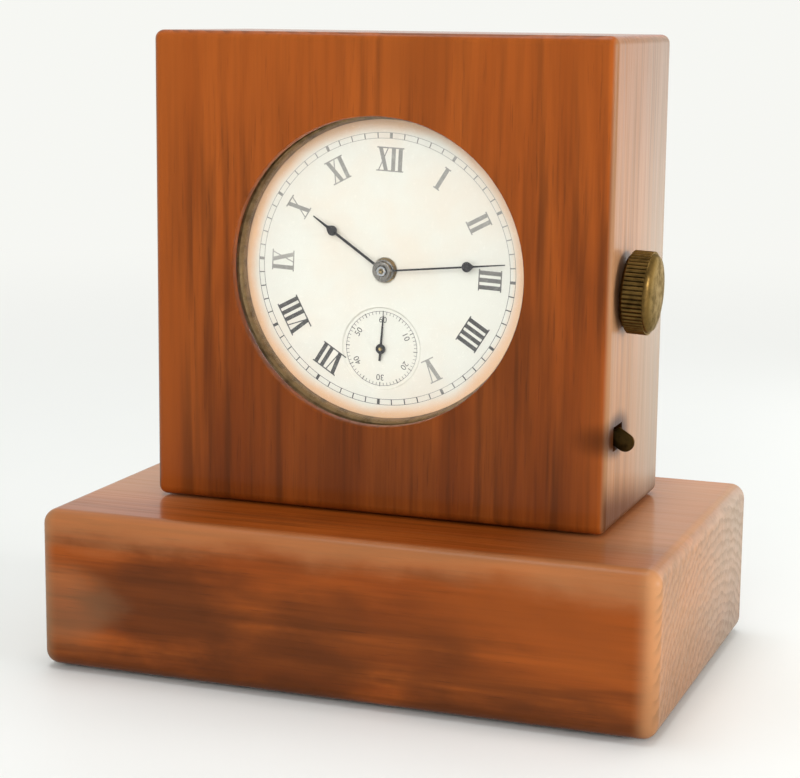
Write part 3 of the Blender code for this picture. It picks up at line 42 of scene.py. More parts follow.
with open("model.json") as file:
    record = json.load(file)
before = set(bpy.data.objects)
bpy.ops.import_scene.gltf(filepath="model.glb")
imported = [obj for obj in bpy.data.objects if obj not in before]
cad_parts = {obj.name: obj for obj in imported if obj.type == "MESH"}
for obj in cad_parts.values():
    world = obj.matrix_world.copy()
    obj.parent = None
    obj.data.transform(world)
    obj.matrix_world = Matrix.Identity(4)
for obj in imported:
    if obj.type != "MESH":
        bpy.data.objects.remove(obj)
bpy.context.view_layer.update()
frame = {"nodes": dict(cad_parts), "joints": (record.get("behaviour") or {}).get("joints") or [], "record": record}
joints = {joint["name"]: joint for joint in frame["joints"]}

# The dial's frame: x to three o'clock, y to six o'clock, z into the block from its front
stem_axis = Vector(joints["winding_knob_turn"]["axis"]).normalized()
inward = Vector(joints["minute_hand_turn"]["axis"]).normalized()
downward = inward.cross(stem_axis)
block_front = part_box("case_block")[0].y
dial_centre = Vector(joints["minute_hand_turn"]["pos_m"])
dial_centre.y = block_front
dial_frame = Matrix.Translation(dial_centre) @ Matrix(
    (stem_axis, downward, inward)
).transposed().to_4x4()


def depth_of(node):
    """How far a node's front and back lie behind the block's front face."""
    low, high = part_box(node)
    return low.y - block_front, high.y - block_front


def in_dial_frame(point):
    return dial_frame.inverted() @ Vector(point)


def extent(node, direction):
    """A node's lowest and highest reach along a direction of the dial frame."""
    turn = dial_frame.inverted() @ frame["nodes"][node].matrix_world
    reaches = [(turn @ vertex.co).dot(direction) for vertex in frame["nodes"][node].data.vertices]
    return min(reaches), max(reaches)


seconds_centre = in_dial_frame(joints["seconds_hand_turn"]["pos_m"])
seconds_place = Matrix.Translation((seconds_centre.x, seconds_centre.y, 0))
stem_point = in_dial_frame(joints["winding_knob_turn"]["pos_m"])
stem_frame = dial_frame @ Matrix.Translation(stem_point) @ Matrix.Rotation(pi / 2, 4, "Y")
block_low, block_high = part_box("case_block")
base_low, base_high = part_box("base_block")
crystal_radius = extent("crystal", Vector((1, 0, 0)))[1]
cover_radius = extent("back_cover", Vector((1, 0, 0)))[1]
cover_front, cover_back = depth_of("back_cover")
knob_inner, knob_outer = extent("winding_knob", Vector((1, 0, 0)))
lever_turn = radians(30)
lever_frame = dial_frame @ Matrix.Rotation(lever_turn, 4, "Z")
lever_ray = Vector((cos(lever_turn), sin(lever_turn), 0))
lever_reach = extent("setting_lever", lever_ray)[1]

PAST = 0.002  # how far a cutting solid goes past the face that it cuts
COVER_SCREW_BORE = 0.0012  # radius of the holes for the back cover's screws


def length(name, default, description):
    return FloatProperty(
        name=name,
        description=description,
        default=default,
        min=0.0,
        unit="LENGTH",
        subtype="DISTANCE",
        precision=5,
    )


def angle(name, default, description):
    return FloatProperty(
        name=name, description=description, default=default, unit="ROTATION", subtype="ANGLE"
    )


def colour(name, default, description):
    return FloatVectorProperty(
        name=name,
        description=description,
        default=default,
        size=3,
        min=0.0,
        max=1.0,
        subtype="COLOR",
    )


def factor(name, default, description, high=1.0):
    return FloatProperty(
        name=name, description=description, default=default, min=0.0, max=high, subtype="FACTOR"
    )


class CaseSettings(bpy.types.PropertyGroup):
    """Sizes and colours of the wooden base and block."""

    base_edge: length("Base edge", 0.0030, "Radius of the base's rounded edges")
    block_edge: length("Block edge", 0.0018, "Radius of the block's rounded edges")
    lip_radius: length("Dial opening", 0.0300, "Radius of the opening round the dial")
    lip_depth: length("Opening depth", 0.0019, "Depth of the opening's edge")
    seat_depth: length("Movement bore depth", 0.0118, "Depth of the bore for the movement")
    room_radius: length("Back bore", 0.0365, "Radius of the bore behind the movement")
    gap: length("Gap", 0.0003, "Gap round the pieces that are set into the wood")
    screw_bore: length("Screw bore", 0.0042, "Radius of the bores for the base screws")
    screw_bore_depth: length("Screw bore depth", 0.0140, "Depth of the base's screw bores")
    light_wood: colour("Light wood", (0.405, 0.094, 0.012), "Lightest tone of the hardwood")
    middle_wood: colour("Middle wood", (0.270, 0.055, 0.006), "Middle tone of the hardwood")
    dark_wood: colour("Dark wood", (0.070, 0.019, 0.004), "Darkest tone of the hardwood")
    # Partly the ends' own paler tone, partly painted sheen of the light on the sides
    side_wood: colour("Side wood", (0.385, 0.232, 0.120), "Paler tone of the hardwood's ends")
    # Painted reflection: the ends turn greyer towards the back, as if mirroring the pale surroundings
    aged_wood: colour("Aged wood", (0.30, 0.275, 0.225), "Greyer tone at the back of the ends")
    # Painted highlight colour for the base's top, its top front edge and its front-right corner
    worn_wood: colour("Worn wood", (0.60, 0.27, 0.11), "Bright tone where hands wear the base")
    varnish: factor("Varnish", 0.60, "Strength of the clear varnish")
    felt: colour("Felt", (0.03, 0.07, 0.04), "Colour of the felt feet")


class DialSettings(bpy.types.PropertyGroup):
    """Sizes and colours of the dial, its marks and its glass."""

    radius: length("Dial radius", 0.0303, "Radius of the enamel disc")
    hole: length("Centre hole", 0.0024, "Radius of the dial's centre hole")
    sink_radius: length("Seconds dial", 0.0083, "Radius of the sunk seconds dial")
    sink_depth: length("Seconds dial depth", 0.00028, "Depth of the sunk seconds dial")
    numeral_ring: length("Numeral ring", 0.0216, "Radius of the circle through the numerals")
    numeral_height: length("Numeral height", 0.0047, "Height of the Roman numerals")
    thick_stroke: length("Thick stroke", 0.00082, "Width of a numeral's thick strokes")
    thin_stroke: length("Thin stroke", 0.00022, "Width of a numeral's thin strokes")
    track_radius: length("Minute track", 0.0262, "Radius of the minute track")
    mark_length: length("Minute mark", 0.0011, "Length of a minute mark")
    mark_width: length("Minute mark width", 0.00022, "Width of a minute mark")
    print_height: length("Print height", 0.00003, "Height of the printed marks on the enamel")
    enamel: colour("Enamel", (0.71, 0.71, 0.635), "Colour of the enamel")
    # Warm tint of the enamel's clouds, and painted reflection of the wood round the dial's rim
    enamel_rim: colour("Enamel rim", (0.77, 0.47, 0.26), "Warmer colour near the dial's rim")
    ink: colour("Print", (0.034, 0.032, 0.031), "Colour of the printed marks")


class HandSettings(bpy.types.PropertyGroup):
    """Sizes of the three hands, and the times at which they stand."""

    hour_angle: angle("Hour hand", radians(302), "Turn of the hour hand from twelve")
    minute_angle: angle("Minute hand", radians(82), "Turn of the minute hand from twelve")
    seconds_angle: angle("Seconds hand", radians(2), "Turn of the seconds hand from twelve")
    hour_reach: length("Hour hand reach", 0.0178, "Reach of the hour hand")
    hour_bulb: length("Hour bulb", 0.0010, "Radius of the hour hand's bulb")
    hour_bulb_place: length("Hour bulb place", 0.0130, "Distance of the hour hand's bulb")
    minute_reach: length("Minute hand reach", 0.0252, "Reach of the minute hand")
    minute_bulb: length("Minute bulb", 0.0010, "Radius of the minute hand's bulb")
    minute_bulb_place: length("Minute bulb place", 0.0175, "Distance of the minute bulb")
    seconds_reach: length("Seconds hand reach", 0.0067, "Reach of the seconds hand")
    steel: colour("Blued steel", (0.030, 0.028, 0.032), "Colour of the blued hands")
    polished_boss: colour("Polished boss", (0.30, 0.28, 0.25), "Colour of the hands' bosses")


class MetalSettings(bpy.types.PropertyGroup):
    """Sizes of the knob's ridges and colours of the metals."""

    ridge_count: IntProperty(
        name="Ridges", description="Number of ridges round the knob", default=56, min=8, max=200
    )
    ridge_radius: length("Ridge radius", 0.00042, "Radius of one ridge on the knob")
    bronze: colour("Dark bronze", (0.134, 0.079, 0.023), "Colour of the knob and the lever")
    ring_bronze: colour("Ring bronze", (0.290, 0.202, 0.103), "Colour of the dial ring")
    brass: colour("Brass", (0.60, 0.43, 0.19), "Colour of the back cover and the plates")
    gilt: colour("Gilt brass", (0.76, 0.56, 0.25), "Colour of the wheels and the barrel")
    polished_steel: colour("Steel", (0.52, 0.53, 0.55), "Colour of the steel parts")


class StageSettings(bpy.types.PropertyGroup):
    """Camera place and lamp strengths."""

    turn: angle("Camera turn", radians(20.17), "Turn of the camera to the right of the front")
    rise: angle("Camera rise", radians(10.24), "Angle of the camera above the horizontal")
    roll: angle("Camera roll", radians(0.62), "Roll of the camera about its view")
    distance: length("Camera distance", 0.4032, "Distance from the camera to its target")
    target: FloatVectorProperty(
        name="Camera target",
        description="Point that the camera looks at",
        default=(0.00566, -0.0195, 0.05834),
        subtype="XYZ",
        unit="LENGTH",
    )
    lens: FloatProperty(
        name="Lens", description="Focal length in millimetres", default=93.73, unit="CAMERA"
    )
    sky: factor("Sky light", 0.40, "Strength of the light from all round", 10.0)
    key: factor("Key light", 6.0, "Power of the soft lamp in front", 100.0)
    top: factor("Top light", 8.6, "Power of the soft lamp overhead", 100.0)
    side: factor("Side light", 8.4, "Power of the soft lamp on the right", 100.0)
    strip: factor("Strip light", 0.17, "Power of the low lamp behind on the right", 100.0)
    floor: colour("Floor", (0.87, 0.885, 0.86), "Colour of the floor")
    backdrop: colour("Backdrop", (0.925, 0.93, 0.895), "Colour of the background")


# Mesh helpers


def linked(name, data):
    """A new object in the scene."""
    thing = bpy.data.objects.new(name, data)
    bpy.context.scene.collection.objects.link(thing)
    return thing


def mesh_from(shape):
    data = bpy.data.meshes.new("mesh")
    shape.to_mesh(data)
    shape.free()
    return data


def solid_from(shape):
    bmesh.ops.recalc_face_normals(shape, faces=shape.faces)
    return mesh_from(shape)


def applied(thing):
    """The plain mesh of an object with its modifiers; the object is removed."""
    bpy.context.view_layer.update()
    graph = bpy.context.evaluated_depsgraph_get()
    data = bpy.data.meshes.new_from_object(thing.evaluated_get(graph))
    bpy.data.objects.remove(thing, do_unlink=True)
    return data


def evaluated(thing):
    """The applied mesh with doubled points merged and normals turned outwards."""
    shape = bmesh.new()
    shape.from_mesh(applied(thing))
    bmesh.ops.remove_doubles(shape, verts=shape.verts, dist=1e-7)
    return solid_from(shape)


def lathe(profile, segments):
    """A closed solid from (radius, z) points turned about z."""
    shape = bmesh.new()
    turns = [2 * pi * (i + 0.5) / segments for i in range(segments)]
    rings = []
    for radius, z in profile:
        spots = [(radius * cos(a), radius * sin(a), z) for a in turns] if radius else [(0, 0, z)]
        rings.append([shape.verts.new(spot) for spot in spots])
    pairs = list(zip(rings, rings[1:]))
    if len(rings[0]) > 1:
        pairs.append((rings[-1], rings[0]))
    for first, second in pairs:
        for i in range(segments):
            j = (i + 1) % segments
            corners = [first[i % len(first)], first[j % len(first)]]
            corners += [second[j % len(second)], second[i % len(second)]]
            face = list(dict.fromkeys(corners))
            if len(face) > 2:
                shape.faces.new(face)
    return solid_from(shape)


def plug(radius, top, bottom, segments):
    """A plain round solid about z."""
    return lathe([(0, top), (radius, top), (radius, bottom), (0, bottom)], segments)


def rail(radius, surface, height, segments):
    """A thin printed ring that rises from a surface towards -z."""
    half = 0.00004
    inner, outer = radius - half, radius + half
    top = surface - height
    return lathe([(inner, surface), (inner, top), (outer, top), (outer, surface)], segments)


def rounded_box(low, high, radius):
    """A box whose edges are rounded where the radius isn't 0."""
    shape = bmesh.new()
    bmesh.ops.create_cube(shape, size=1)
    bmesh.ops.scale(shape, vec=high - low, verts=shape.verts)
    bmesh.ops.translate(shape, vec=(low + high) / 2, verts=shape.verts)
    if radius:
        edges = shape.edges[:]
        bmesh.ops.bevel(
            shape, geom=edges, offset=radius, segments=8, profile=0.5, affect="EDGES"
        )
    return solid_from(shape)


def plate(outlines, front, back, rounding):
    """A flat plate from outlines of (x, y) points, the first one outside and the rest holes."""
    curve = bpy.data.curves.new("plate", "CURVE")
    curve.dimensions = "2D"
    curve.fill_mode = "BOTH"
    curve.extrude = (back - front) / 2 - rounding
    curve.bevel_depth = rounding
    curve.bevel_resolution = 2
    curve.offset = -rounding
    for outline in outlines:
        line = curve.splines.new("POLY")
        line.points.add(len(outline) - 1)
        for point, (x, y) in zip(line.points, outline):
            point.co = (x, y, 0, 1)
        line.use_cyclic_u = True
    return placed(evaluated(linked("plate", curve)), Matrix.Translation((0, 0, (front + back) / 2)))


def cut_from(data, tools):
    """A mesh with other meshes cut from it."""
    piece = linked("solid", data)
    cutters = [linked("cutter", tool) for tool in tools]
    for cutter in cutters:
        step = piece.modifiers.new("cut", "BOOLEAN")
        step.operation = "DIFFERENCE"
        step.solver = "EXACT"
        step.object = cutter
    made = evaluated(piece)
    for cutter in cutters:
        bpy.data.objects.remove(cutter, do_unlink=True)
    return made


def joined(meshes):
    shape = bmesh.new()
    for data in meshes:
        shape.from_mesh(data)
    return mesh_from(shape)


def placed(data, matrix):
    data = data.copy()
    data.transform(matrix)
    return data


def ring_of(radius, segments):
    turns = [2 * pi * i / segments for i in range(segments)]
    return [(radius * cos(a), radius * sin(a)) for a in turns]


def arc_of(radius, start, end, steps, x=0.0):
    """Points on an arc round (x, 0)."""
    turns = [start + (end - start) * i / steps for i in range(steps + 1)]
    return [(x + radius * cos(a), radius * sin(a)) for a in turns]


def shaded(data, sharp_angle=radians(38)):
    data.shade_smooth()
    data.set_sharp_from_angle(angle=sharp_angle)
    return data


def weighted(data):
    """Normals that keep large flat faces flat beside rounded edges."""
    piece = linked("weighted", shaded(data))
    step = piece.modifiers.new("weighted", "WEIGHTED_NORMAL")
    step.keep_sharp = True
    step.weight = 100
    return applied(piece)


def dress(name, data, body, material, nodes=()):
    """Makes a piece that rides on a body and stands for the given nodes."""
    data.name = name
    piece = linked(name, data)
    data.materials.clear()
    data.materials.append(material)
    data.polygons.foreach_set("material_index", [0] * len(data.polygons))
    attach(piece, body)
    if nodes:
        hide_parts(*nodes)


def nodes_named(start):
    return sorted(name for name in frame["nodes"] if name.startswith(start))


def upright(name):
    """An upright round node's radius, its ends in z and its place on the ground."""
    low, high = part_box(name)
    middle = (low + high) / 2
    return (high.x - low.x) / 2, low.z, high.z, Matrix.Translation((middle.x, middle.y, 0))


def lying(name):
    """A screw's head radius, its ends' depths and its place in the dial's frame."""
    low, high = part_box(name)
    centre = in_dial_frame((low + high) / 2)
    place = dial_frame @ Matrix.Translation((centre.x, centre.y, 0))
    return (high.x - low.x) / 2, *depth_of(name), place


# Node helpers


def add(tree, kind, **values):
    node = tree.nodes.new(kind)
    for name, value in values.items():
        setattr(node, name, value)
    return node


def put(tree, node, socket, value):
    """Sets a socket to a value, or links it from another node's output."""
    target = node.inputs[socket]
    if isinstance(value, bpy.types.NodeSocket):
        tree.links.new(value, target)
    elif isinstance(value, (tuple, list)) and target.type == "RGBA" and len(value) == 3:
        target.default_value = (*value, 1.0)
    else:
        target.default_value = value


def filled(tree, kind, values, **options):
    """A new node with its first sockets set."""
    node = add(tree, kind, **options)
    for socket, value in enumerate(values):
        put(tree, node, socket, value)
    return node


def named(tree, kind, **values):
    """A new node with the sockets of these names set."""
    node = add(tree, kind)
    for socket, value in values.items():
        put(tree, node, socket, value)
    return node


def calculate(tree, operation, *values, clamp=False):
    options = {"operation": operation, "use_clamp": clamp}
    return filled(tree, "ShaderNodeMath", values, **options).outputs[0]


def vectors(tree, operation, *values):
    """A vector calculation; a length or a distance comes out as a number."""
    node = filled(tree, "ShaderNodeVectorMath", values, operation=operation)
    return node.outputs["Value" if operation in ("LENGTH", "DISTANCE") else "Vector"]


def axes_of(tree, vector):
    return tuple(filled(tree, "ShaderNodeSeparateXYZ", [vector]).outputs)


def blend(tree, share, first, second):
    node = add(tree, "ShaderNodeMix", data_type="RGBA")
    put(tree, node, 0, share)
    put(tree, node, 6, first)
    put(tree, node, 7, second)
    return node.outputs[2]


def tint(tree, tone, shade, *masks):
    """Blends a shade into a tone where all of the masks meet."""
    share = masks[0]
    for mask in masks[1:]:
        share = calculate(tree, "MULTIPLY", share, mask)
    linked_shade = isinstance(shade, bpy.types.NodeSocket)
    return blend(tree, share, tone, shade if linked_shade else tuple(shade))


def spread(tree, value, low, high, new_low=0.0, new_high=1.0):
    """A smooth rise from new_low to new_high while the value goes from low to high."""
    values = (value, low, high, new_low, new_high)
    return filled(tree, "ShaderNodeMapRange", values, interpolation_type="SMOOTHSTEP").outputs[0]


def on_face(tree, axis, face, share=1.0, start=0.0008):
    """The share on a face at a coordinate; it rises from just before the face."""
    return spread(tree, axis, face - start, face - 0.0001, 0.0, share)


def noise(tree, vector, scale, detail, roughness, distortion=0.0):
    node = named(tree, "ShaderNodeTexNoise", Vector=vector, Scale=scale, Detail=detail)
    put(tree, node, "Roughness", roughness)
    put(tree, node, "Distortion", distortion)
    return node.outputs[0]


def swing(tree, wave, size):
    """A noise that swings to both sides of 0."""
    return calculate(tree, "MULTIPLY", calculate(tree, "SUBTRACT", wave, 0.5), size)


def stretched(tree, vector, scale, turn=(0, 0, 0), place=(0, 0, 0)):
    values = {"Vector": vector, "Scale": scale, "Rotation": turn, "Location": place}
    return named(tree, "ShaderNodeMapping", **values).outputs[0]


def new_material(name):
    """A material, its tree, its principled shader and its object coordinates."""
    material = bpy.data.materials.new(name)
    material.use_nodes = True
    tree = material.node_tree
    vector = add(tree, "ShaderNodeTexCoord").outputs["Object"]
    return material, tree, tree.nodes["Principled BSDF"], vector


def raised(tree, height, distance, strength):
    values = {"Height": height, "Distance": distance, "Strength": strength}
    return named(tree, "ShaderNodeBump", **values).outputs["Normal"]


def seen_directly(tree):
    """1 for rays from the camera, from a reflection or through glass."""
    rays = add(tree, "ShaderNodeLightPath").outputs
    seen = calculate(tree, "MAXIMUM", rays["Is Camera Ray"], rays["Is Glossy Ray"])
    return calculate(tree, "MAXIMUM", seen, rays["Is Transmission Ray"])


def mix_surface(tree, share, first, second, output):
    """Mixes two shaders into the surface of an output node."""
    choice = filled(tree, "ShaderNodeMixShader", (share, first.outputs[0], second.outputs[0]))
    put(tree, output, "Surface", choice.outputs[0])


def new_sockets(tree, inputs, outputs):
    """Gives a tree its inputs (name, kind, default) and its outputs (name, kind)."""
    new = tree.interface.new_socket
    for title, kind, default in inputs:
        socket = new(name=title, in_out="INPUT", socket_type="NodeSocket" + kind)
        if default is not None:
            socket.default_value = default
    for title, kind in outputs:
        new(name=title, in_out="OUTPUT", socket_type="NodeSocket" + kind)


# Shader groups


def shared_group(name, inputs, outputs, build):
    """A shader group that is made once; build(tree, *sockets) gives its outputs in order."""
    if name in bpy.data.node_groups:
        return bpy.data.node_groups[name]
    tree = bpy.data.node_groups.new(name, "ShaderNodeTree")
    new_sockets(tree, inputs, outputs)
    source = add(tree, "NodeGroupInput")
    made = build(tree, *(source.outputs[title] for title, *_ in inputs))
    filled(tree, "NodeGroupOutput", made)
    return tree


def use_group(tree, group, values):
    node = add(tree, "ShaderNodeGroup", node_tree=group)
    for name, value in values.items():
        put(tree, node, name, value)
    return node.outputs


def figured_wood_group():
    """Hardwood figure with its grain along x: bands, streaks, pores and clouds."""

    def build(tree, vector, light, middle, dark, band_scale, streak_share, cloud_share):
        bands = noise(tree, stretched(tree, vector, (0.10, 1.0, 1.0)), band_scale, 4.0, 0.55, 0.6)
        fine = noise(tree, stretched(tree, vector, (0.035, 1.0, 1.0)), 900.0, 3.0, 0.6)
        streaks = noise(tree, stretched(tree, vector, (0.05, 1.0, 1.0)), 330.0, 3.0, 0.55, 0.3)
        clouds = noise(tree, stretched(tree, vector, (0.5, 1.0, 1.0)), 38.0, 3.0, 0.5, 0.4)
        pores = noise(tree, stretched(tree, vector, (0.04, 1.0, 1.0)), 2600.0, 2.0, 0.5)
        pore_mask = spread(tree, pores, 0.62, 0.72)
        tone = blend(tree, spread(tree, bands, 0.36, 0.66), light, middle)
        tone = tint(tree, tone, dark, spread(tree, streaks, 0.48, 0.70), streak_share)
        tone = tint(tree, tone, dark, spread(tree, clouds, 0.50, 0.72), cloud_share)
        tone = tint(tree, tone, dark, spread(tree, fine, 0.35, 0.75, 0.0, 0.30))
        tone = tint(tree, tone, dark, pore_mask, 0.35)
        height = calculate(tree, "SUBTRACT", calculate(tree, "MULTIPLY", fine, 0.5), pore_mask)
        return tone, spread(tree, fine, 0.3, 0.8, 0.30, 0.46), height

    return shared_group(
        "figured_wood",
        [
            ("Vector", "Vector", None),
            ("Light", "Color", (0.5, 0.15, 0.03, 1)),
            ("Middle", "Color", (0.33, 0.075, 0.014, 1)),
            ("Dark", "Color", (0.09, 0.022, 0.007, 1)),
            ("Band Scale", "Float", 90.0),
            ("Streaks", "Float", 0.5),
            ("Clouds", "Float", 0.5),
        ],
        [("Colour", "Color"), ("Roughness", "Float"), ("Height", "Float")],
        build,
    )


def patina_group():
    """Uneven tone and fine scratches for metals."""

    def build(tree, vector, clean, wear_and_highlight, roughness, spot_scale, grain_scale):
        spots = noise(tree, vector, spot_scale, 4.0, 0.6)
        grain = noise(tree, vector, grain_scale, 2.0, 0.5)
        share = spread(tree, spots, 0.38, 0.72)
        rough = calculate(tree, "MULTIPLY_ADD", share, 0.22, roughness)
        scratches = spread(tree, grain, 0.3, 0.7, -0.04, 0.04)
        rough = calculate(tree, "ADD", rough, scratches, clamp=True)
        height = calculate(tree, "MULTIPLY_ADD", spots, 2.0, grain)
        return blend(tree, share, clean, wear_and_highlight), rough, height

    return shared_group(
        "patina",
        [
            ("Vector", "Vector", None),
            ("Clean", "Color", (0.6, 0.4, 0.15, 1)),
            ("Worn", "Color", (0.3, 0.18, 0.07, 1)),
            ("Roughness", "Float", 0.3),
            ("Spot Scale", "Float", 260.0),
            ("Grain Scale", "Float", 2400.0),
        ],
        [("Colour", "Color"), ("Roughness", "Float"), ("Height", "Float")],
        build,
    )


def patch_group():
    """A soft patch round a place, with an edge that a noise makes uneven."""

    def build(tree, vector, place, size, wave, unevenness):
        reach = vectors(tree, "DIVIDE", vectors(tree, "SUBTRACT", vector, place), size)
        reach = vectors(tree, "LENGTH", reach)
        edge = calculate(tree, "ADD", reach, swing(tree, wave, unevenness))
        return (spread(tree, edge, 0.45, 1.15, 1.0, 0.0),)

    return shared_group(
        "soft_patch",
        [
            ("Vector", "Vector", None),
            ("Place", "Vector", None),
            ("Size", "Vector", (0.01, 0.01, 0.01)),
            ("Wave", "Float", 0.5),
            ("Unevenness", "Float", 1.2),
        ],
        [("Mask", "Float")],
        build,
    )


def rings_group():
    """Rings round an axis through a centre; Across is 0 along the axis and 1 beside it."""

    def build(tree, vector, centre, across, spacing, wave):
        flat = vectors(tree, "MULTIPLY", vectors(tree, "SUBTRACT", vector, centre), across)
        turns = calculate(tree, "DIVIDE", vectors(tree, "LENGTH", flat), spacing)
        turns = calculate(tree, "ADD", turns, swing(tree, wave, 3.0))
        fraction = calculate(tree, "FRACT", turns)
        rise = spread(tree, fraction, 0.25, 0.85)
        return (calculate(tree, "MULTIPLY", rise, spread(tree, fraction, 0.90, 1.0, 1.0, 0.0)),)

    return shared_group(
        "rings",
        [
            ("Vector", "Vector", None),
            ("Centre", "Vector", None),
            ("Across", "Vector", (1.0, 1.0, 1.0)),
            ("Spacing", "Float", 0.002),
            ("Wave", "Float", 0.5),
        ],
        [("Mask", "Float")],
        build,
    )


def pale_ends_group():
    """The paler faces on the left and right, partly the wood's own paler tone and partly painted sheen: its tone
    and its mask.
    """

    def build(tree, vector, tone, pale, start, end):
        outwards = calculate(tree, "ABSOLUTE", axes_of(tree, vector)[0])
        mask = spread(tree, outwards, start, end)
        return tint(tree, tone, pale, mask, 0.6), mask

    return shared_group(
        "pale_ends",
        [
            ("Vector", "Vector", None),
            ("Colour", "Color", (0.5, 0.15, 0.03, 1)),
            ("Pale", "Color", (0.4, 0.25, 0.15, 1)),
            ("Start", "Float", 0.05),
            ("End", "Float", 0.06),
        ],
        [("Colour", "Color"), ("Mask", "Float")],
        build,
    )


def cloud(tree, vector, place, size, wave, unevenness=1.2):
    values = {"Place": place, "Size": size, "Wave": wave, "Unevenness": unevenness}
    return use_group(tree, patch_group(), {"Vector": vector, **values})["Mask"]


def rings_round(tree, vector, centre, across, spacing, wave):
    values = {"Centre": centre, "Across": across, "Spacing": spacing, "Wave": wave}
    return use_group(tree, rings_group(), {"Vector": vector, **values})["Mask"]


def pale_ends(tree, vector, tone, pale, reach, width):
    """The ends of a block that reaches to both sides; they start a width before its faces."""
    values = {"Colour": tone, "Pale": tuple(pale), "Start": reach - width, "End": reach - 0.0001}
    made = use_group(tree, pale_ends_group(), {"Vector": vector, **values})
    return made["Colour"], made["Mask"]


# Materials


def shares_of(colour_value, share):
    return tuple(channel * share for channel in colour_value)


def varied(shader, colour_socket, roughness, normal, **plain):
    """Links a shader's colour, roughness and normal, and sets its other sockets."""
    tree = shader.id_data
    put(tree, shader, "Base Color", colour_socket)
    put(tree, shader, "Roughness", roughness)
    put(tree, shader, "Normal", normal)
    for name, value in plain.items():
        put(tree, shader, name.replace("_", " "), value)


def wood_material(name, settings, turn, place, band_scale, streaks, clouds, shade):
    """Varnished hardwood; shade gives its regions' tone, painted light among them, and where the varnish has gone.
    """
    material, tree, shader, vector = new_material(name)
    wood = use_group(
        tree,
        figured_wood_group(),
        {
            "Vector": stretched(tree, vector, (1, 1, 1), turn, place),
            "Light": tuple(settings.light_wood),
            "Middle": tuple(settings.middle_wood),
            "Dark": tuple(settings.dark_wood),
            "Band Scale": band_scale,
            "Streaks": streaks,
            "Clouds": clouds,
        },
    )
    tone, bare = shade(tree, vector, wood["Colour"], settings)
    varnish = settings.varnish
    coat = calculate(tree, "MULTIPLY_ADD", bare, -0.88 * varnish, varnish)
    normal = raised(tree, wood["Height"], 0.00002, 0.5)
    varied(
        shader,
        tone,
        wood["Roughness"],
        normal,
        Coat_Weight=coat,
        Coat_Roughness=0.14,
        Coat_IOR=1.22,
        Specular_IOR_Level=0.05,
    )
    return material


def block_shade(tree, vector, tone, settings):
    """Bright at the block's top and edges, dark and streaked low down, pale on its sides with painted sheen,
    painted shade and reflection of the base low on its sides, and darker round the lever's slot.
    """
    dark, light = settings.dark_wood, settings.light_wood
    x, y, z = axes_of(tree, vector)
    wave = noise(tree, stretched(tree, vector, (1.0, 1.0, 0.5)), 45.0, 3.0, 0.5)
    uneven = swing(tree, wave, 0.04)
    height = calculate(tree, "ADD", z, uneven)
    low = spread(tree, height, block_low.z + 0.004, block_low.z + 0.058, 1.0, 0.0)
    tone = tint(tree, tone, dark, low, 0.42)
    lines = noise(tree, stretched(tree, vector, (1.0, 1.0, 0.03)), 260.0, 2.0, 0.5)
    tone = tint(tree, tone, dark, spread(tree, lines, 0.54, 0.66, 0.0, 0.6), low)
    high = spread(tree, height, block_high.z - 0.040, block_high.z + 0.010, 0.0, 0.55)
    tone = tint(tree, tone, light, high)
    patch = cloud(tree, vector, (0.002, block_low.y, 0.042), (0.018, 0.05, 0.012), wave)
    tone = tint(tree, tone, dark, patch, 0.2)
    outwards = calculate(tree, "ABSOLUTE", x)
    side_edge = spread(tree, outwards, block_high.x - 0.0070, block_high.x - 0.0010, 0.0, 0.4)
    tone = tint(tree, tone, light, side_edge, low)
    left_edge = spread(tree, x, block_low.x + 0.002, block_low.x + 0.010, 0.45, 0.0)
    tone = tint(tree, tone, light, left_edge)
    rings = rings_round(tree, vector, (0.014, 0.052, 0), (1, 1, 0), 0.0023, wave)
    tone = tint(tree, tone, dark, rings, on_face(tree, z, block_high.z, 0.5))

    # Pale sides: partly the wood's own paler tone, partly painted sheen
    tone, sides = pale_ends(tree, vector, tone, settings.side_wood, block_high.x, 0.0011)
    grain = noise(tree, stretched(tree, vector, (1.0, 1.0, 0.025)), 420.0, 3.0, 0.6, 0.4)
    streaks = spread(tree, grain, 0.46, 0.66, 0.0, 0.45)
    tone = tint(tree, tone, shares_of(settings.side_wood, 0.42), streaks, sides)
    # Painted reflection greys the sides towards the back
    behind = spread(tree, y, -0.014, block_high.y, 0.0, 0.62)
    tone = tint(tree, tone, settings.aged_wood, behind, sides)
    shadow = spread(tree, z, block_low.z + 0.042, block_high.z, 0.0, 0.34)
    tone = tint(tree, tone, dark, shadow, sides)
    # Painted shade and reflection of the base: the lowest part of the sides is darker, the band higher at the
    # front than at the back
    slope = calculate(tree, "MULTIPLY_ADD", uneven, 0.12, z)
    slope = calculate(tree, "MULTIPLY_ADD", y, 0.16, slope)
    foot = spread(tree, slope, block_low.z + 0.0015, block_low.z + 0.0095, 0.9, 0.0)
    tone = tint(tree, tone, dark, foot, sides)
    # Darker round the mouth of the lever's slot, where the varnish is also thinner
    mouth_reach, mouth_depth = 0.0548, 0.0072
    slot_mouth = dial_frame @ (mouth_reach * lever_ray + Vector((0, 0, mouth_depth)))
    slot_dark_patch = cloud(tree, vector, tuple(slot_mouth), (0.010, 0.0100, 0.0048), wave, 0.4)
    tone = tint(tree, tone, shares_of(dark, 0.6), slot_dark_patch)
    return tone, calculate(tree, "MAXIMUM", sides, slot_dark_patch)


